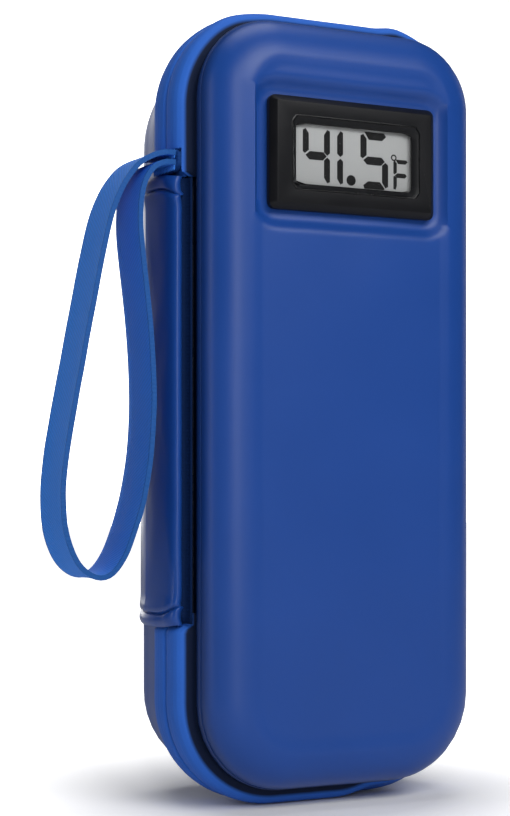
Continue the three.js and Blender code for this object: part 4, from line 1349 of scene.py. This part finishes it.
def segments():
    """41.5 degrees Fahrenheit in seven-segment digits, printed just in front of the film."""
    marks = [[(left + x * width, low + z * height) for x, z in SEGMENT_BARS[bar]]
             for bars, left, low, width, height in DIGITS for bar in bars]

    def round_spot(middle, reach, turn):
        angle = turn * math.pi / 12
        return middle[0] + reach * math.cos(angle), middle[1] + reach * math.sin(angle)

    marks.append([round_spot(POINT, POINT_RADIUS, turn) for turn in range(24)])
    inner, outer = DEGREE_RADII
    for turn in range(24):
        marks.append([round_spot(DEGREE, reach, end) for reach, end in (
            (inner, turn), (outer, turn), (outer, turn + 1), (inner, turn + 1))])
    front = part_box("lcd_panel")[0].y - 0.02 * MM
    points, faces = [], []
    for mark in marks:
        faces.append(range(len(points), len(points) + len(mark)))
        points += [(x * MM, front, (z + MODULE_Z) * MM) for x, z in mark]
    return modify(faceted("display_segments", points, faces), "SOLIDIFY", thickness=0.05 * MM,
                  offset=0)


class ModuleInsideOperator(bpy.types.Operator):
    """Board, cells, back, battery door and key of the thermometer"""
    bl_idname = "cooling_case.module_inside"
    bl_label = "Thermometer's inside"

    def execute(self, context):
        shell = textured_abs("Spark-textured ABS, back", "bezel", 1.3, 0.5)
        rounded_solid("module_back", "module_back_moulding", 0.15, "lid", "black_abs", shell)
        rounded_solid("battery_cover", "battery_door", 0.2, "battery_cover", "black_abs", shell)
        rounded_solid("unit_button", "unit_key", 0.3, "unit_button", "black_rubber",
                      soft_rubber("Silicone key"), segments=3)
        dress(solder_mask(), "circuit_board")
        dress(plated_steel(), "button_cell_left", "button_cell_right")
        dress(soft_rubber("Conductive rubber connector"), "contact_strip")
        return {"FINISHED"}


class LiningsOperator(bpy.types.Operator):
    """Foil-faced foam linings of both halves with their bound rims"""
    bl_idname = "cooling_case.linings"
    bl_label = "Linings"

    def execute(self, context):
        film = foil()
        tape = oxford("Binding tape", "fabric")
        for side, node, body in ((-1, "front_lining", "lid"), (1, "rear_lining", "rear_half")):
            low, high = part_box(node)
            depth = max(abs(low.y - ZIP_PLANE), abs(high.y - ZIP_PLANE)) / MM
            inset = HALF_WIDTH - high.x / MM
            piece = moulded_skin(node + "_film", side, depth, 6.8, 9, crinkled, LINING_SIDE,
                                 rim=inset, draft=0.3, rounder=6 if side > 0 else 0)
            if side < 0:
                open_for_module(piece, half_x=28, half_z=18.6, deepest=-12)
            modify(piece, "SOLIDIFY", thickness=size("foam") * MM, offset=-1)
            finish(piece, body, "lining_foil", film, node, angle=50)
            trim = binding(node + "_binding", band_line(inset + size("foam") / 2), side * 1.5,
                           size("foam") + 0.7, 1.9, closed=True)
            finish(trim, body, "black_fabric", tape)
        return {"FINISHED"}


def crinkled(x, z):
    """Soft creases of the lining's film."""
    return 0.3 * abs(noise.noise((x / 9, z / 13, 4.1))) + 0.16 * noise.noise((x / 3.2, z / 4, 1.7))


class NetPocketOperator(bpy.types.Operator):
    """Net pocket on the lid's lining with its bound edges"""
    bl_idname = "cooling_case.net_pocket"
    bl_label = "Net pocket"

    def execute(self, context):
        low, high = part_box("mesh_pocket")
        half_x, half_z, corner = high.x / MM, HALF_HEIGHT - low.z / MM, 14.2
        mouth = high.z / MM - HALF_HEIGHT
        pitch = size("net_pitch")
        columns, rows = round(2 * half_x / pitch), round((mouth + half_z) / pitch)

        def place(i, j):
            x, z = -half_x + 2 * half_x * i / columns, -half_z + (mouth + half_z) * j / rows
            x, z = rounded(x, z, half_x, half_z, corner)
            sag = 0.25 * math.sin(math.pi * i / columns) * math.sin(math.pi * j / rows)
            return at(x * 0.985, -14.9 + sag, z + HALF_HEIGHT)

        net = laid_grid("pocket_net", columns, rows, place)
        edit(net, whole=True)
        bpy.ops.mesh.poke()
        pick(net, "edges", lambda edge: (
            not edge.is_boundary and all(len(v.link_edges) != 4 for v in edge.verts)))
        bpy.ops.mesh.dissolve_edges(use_verts=False)
        done()
        modify(net, "WIREFRAME", thickness=size("net_thread") * MM, use_even_offset=False,
               use_boundary=True)
        finish(net, "lid", "black_fabric", oxford("Knitted net", "fabric", 0.6, 0.8), "mesh_pocket",
               angle=60)
        top = mouth + HALF_HEIGHT
        cloth = oxford("Pocket binding", "fabric")
        hem = binding("pocket_mouth", [(-half_x, top - 2.5), (0, top - 2.5), (half_x, top - 2.5)],
                      -14.7, 5, 1.4, gather=0.16)
        finish(hem, "lid", "black_fabric", cloth)
        arc = [(half_x - corner + corner * math.cos(a), -half_z + corner - corner * math.sin(a))
               for a in [math.pi / 2 * k / 6 for k in range(7)]]
        round_it = [(half_x, mouth - 5), (half_x, mouth - 25), *arc]
        round_it += [(-x, z) for x, z in reversed(round_it)]
        edge = binding("pocket_edge", [(x * 0.985, z + HALF_HEIGHT) for x, z in round_it],
                       -14.9, 2.6, 1.1)
        finish(edge, "lid", "black_fabric", cloth)
        return {"FINISHED"}


class GelPacksOperator(bpy.types.Operator):
    """Two gel packs: welded pouches swollen by their filling"""
    bl_idname = "cooling_case.gel_packs"
    bl_label = "Gel packs"

    def execute(self, context):
        film = gel_film()
        low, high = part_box("ice_pack_upper")
        first = swollen_pouch("gel_pack_upper", low, high)
        second = first.copy()
        second.data = first.data.copy()
        second.name = second.data.name = "gel_pack_lower"
        bpy.context.collection.objects.link(second)
        activate(second)
        middle = (low + high) / 2
        bpy.ops.transform.rotate(value=math.pi, orient_axis="Y", center_override=middle)
        bpy.ops.transform.translate(value=(0, 0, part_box("ice_pack_lower")[0].z - low.z))
        for piece, node in ((first, "ice_pack_upper"), (second, "ice_pack_lower")):
            finish(piece, "rear_half", "gel_pack", film, node, angle=180)
        return {"FINISHED"}


def swollen_pouch(name, low, high):
    """Two films welded at their rim and filled: cloth under pressure puckers them at the weld."""
    middle, half = (low + high) / 2, (high - low) / 2
    corner = 9
    half_x, half_z = half.x / MM, half.z / MM
    columns, rows, film = 28, 40, 1.2

    def place(i, j):
        x, z = 2 * half_x * i / columns - half_x, 2 * half_z * j / rows - half_z
        x, z = rounded(x, z, half_x, half_z, corner)
        return middle + Vector((x, 0, z)) * MM

    piece = laid_grid(name, columns, rows, place)
    modify(piece, "SOLIDIFY", thickness=film * MM, offset=0)
    cap = size("pack_swell") * MM
    rest = [vertex.co.copy() for vertex in piece.data.vertices]

    activate(piece)
    cloth = piece.modifiers.new("Cloth", "CLOTH")
    cloth.settings.use_pressure = True
    cloth.settings.uniform_pressure_force = 6
    cloth.settings.effector_weights.gravity = 0
    cloth.settings.tension_stiffness = cloth.settings.compression_stiffness = 25
    scene = bpy.context.scene
    for step in range(1, 21):
        scene.frame_set(step)
    bpy.ops.object.modifier_apply(modifier=cloth.name)
    scene.frame_set(1)
    for vertex, start in zip(piece.data.vertices, rest):
        moved = vertex.co - start
        swell = cap * math.tanh(abs(moved.y) / cap)
        vertex.co = start + Vector((
            max(-cap / 2, min(cap / 2, moved.x)), math.copysign(swell, moved.y),
            max(-cap / 2, min(cap / 2, moved.z))))
    return modify(piece, "SUBSURF", levels=1, render_levels=1)


class DividerOperator(bpy.types.Operator):
    """Padded divider over the gel packs, with its bound edge and elastic pen loops"""
    bl_idname = "cooling_case.divider"
    bl_label = "Divider and pen loops"

    def execute(self, context):
        low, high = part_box("divider_pad")
        half_x, half_z = high.x / MM - 0.4, (high.z - low.z) / 2 / MM - 0.4
        middle_y, middle_z, corner = (low.y + high.y) / 2, (low.z + high.z) / 2, 16.5
        xs, zs = grid_lines(half_x, 1.6), grid_lines(half_z, 2.4)

        def place(i, j):
            x, z = rounded(xs[i], zs[j], half_x, half_z, corner)
            seam = 0.5 * bell(min(half_x - abs(xs[i]), half_z - abs(zs[j])), 5, 0.7)
            crown = 0.25 * noise.noise((x / 14, z / 18, 6.3)) - 0.2
            return Vector((x * MM, middle_y + (seam + crown) * MM, z * MM + middle_z))

        pad = laid_grid("divider_panel", len(xs) - 1, len(zs) - 1, place)
        modify(pad, "SOLIDIFY", thickness=2.3 * MM, offset=0)
        modify(pad, "BEVEL", width=0.5 * MM, segments=2, angle_limit=math.radians(60))
        cloth = oxford("Oxford polyester, padded", "fabric")
        finish(pad, "rear_half", "black_fabric", cloth, "divider_pad", angle=60)
        trim = binding("divider_binding", band_line(HALF_WIDTH - high.x / MM + 1.0),
                       (middle_y - ZIP_PLANE) / MM, 2.6, 2.9, closed=True)
        finish(trim, "rear_half", "black_fabric", cloth)
        weave = ribbed_elastic()
        for row in ("upper", "lower"):
            node = "pen_loops_" + row
            strip, seams = loop_strip(node + "_elastic", *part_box(node))
            finish(strip, "rear_half", "black_fabric", weave, node, angle=50)
            finish(seams, "rear_half", "black_fabric",
                   drawn_polymer("Grey thread, " + row, "fabric", 2.2, 0.6))
        return {"FINISHED"}


def loop_strip(name, low, high):
    """Elastic laid in two loops and sewn down between them, with its rows of stitches."""
    thick = size("elastic")
    back, peak = (high.y - ZIP_PLANE) / MM - thick / 2, (low.y - ZIP_PLANE) / MM + thick / 2
    left, foot, wide = low.x / MM, 4, 19
    line, feet = [], []
    for loop in range(2):
        start = left + loop * (wide + foot)
        feet.append(start + foot / 2)
        line += [(start, back), (start + foot / 2, back)]
        for step in range(17):
            angle = math.pi * step / 16
            line.append((start + foot + (wide - thick) / 2 * (1 - math.cos(angle)) + thick / 2,
                         back - (back - peak) * math.sin(angle) ** 0.62))
    feet.append(high.x / MM - foot / 2)
    line += [(feet[-1], back), (high.x / MM, back)]
    runs = running_lengths(line)
    rows, bottom, tall = 12, low.z / MM, (high.z - low.z) / MM

    def place(i, j):
        x, y = line[i]
        share = 2 * j / rows - 1
        lift = (back - y) / (back - peak)
        return at(x, y + 0.4 * share * share * lift, bottom + tall * j / rows)

    piece = laid_grid(name, len(line) - 1, rows, place,
                      lambda i, j: (runs[i] * MM, tall * j / rows * MM))
    modify(piece, "SOLIDIFY", thickness=thick * MM, offset=0)
    weld(piece)
    front, ends = back - thick / 2 - 0.05, (bottom + 0.8, bottom + tall - 0.8)
    seams = [[(x + aside, front, end) for end in ends] for x in feet for aside in (-0.9, 0.9)]
    return piece, stitches(name + "_seams", seams, thread=0.45)


class SlidersOperator(bpy.types.Operator):
    """Head-to-head sliders with their pulls"""
    bl_idname = "cooling_case.sliders"
    bl_label = "Sliders and pulls"

    def execute(self, context):
        enamel = painted_zinc()
        for node in ("upper_slider", "upper_pull", "lower_slider", "lower_pull"):
            width = 0.25 if "slider" in node else 0.2
            rounded_solid(node, node + "_casting", width, node, "slider_metal", enamel)
        return {"FINISHED"}


STEPS = (StageOperator, ProbeOperator, LidSkinOperator, RearSkinOperator, ZipTapesOperator,
         CoilsOperator, SpineOperator, StrapOperator, BezelOperator, DisplayOperator,
         ModuleInsideOperator, LiningsOperator, NetPocketOperator, GelPacksOperator,
         DividerOperator, SlidersOperator)


class CasePanel(bpy.types.Panel):
    """Sizes, colours and building steps of the case"""
    bl_idname = "VIEW3D_PT_cooling_case"
    bl_label = "Cooling case"
    bl_space_type = "VIEW_3D"
    bl_region_type = "UI"
    bl_category = "Cooling case"

    def draw(self, context):
        for group in (context.scene.case_sizes, context.scene.case_colours):
            box = self.layout.box()
            for name in group.__annotations__:
                box.prop(group, name)
        for step in STEPS:
            self.layout.operator(step.bl_idname)


CLASSES = (CaseSizes, CaseColours, *STEPS, CasePanel)


def register():
    for kind in CLASSES:
        bpy.utils.register_class(kind)
    bpy.types.Scene.case_sizes = PointerProperty(type=CaseSizes)
    bpy.types.Scene.case_colours = PointerProperty(type=CaseColours)


def unregister():
    del bpy.types.Scene.case_colours
    del bpy.types.Scene.case_sizes
    for kind in reversed(CLASSES):
        bpy.utils.unregister_class(kind)


def main():
    """Builds every piece in order."""
    register()
    for step in STEPS:
        group, operator = step.bl_idname.split(".")
        getattr(getattr(bpy.ops, group), operator)()


if __name__ == "__main__":
    main()
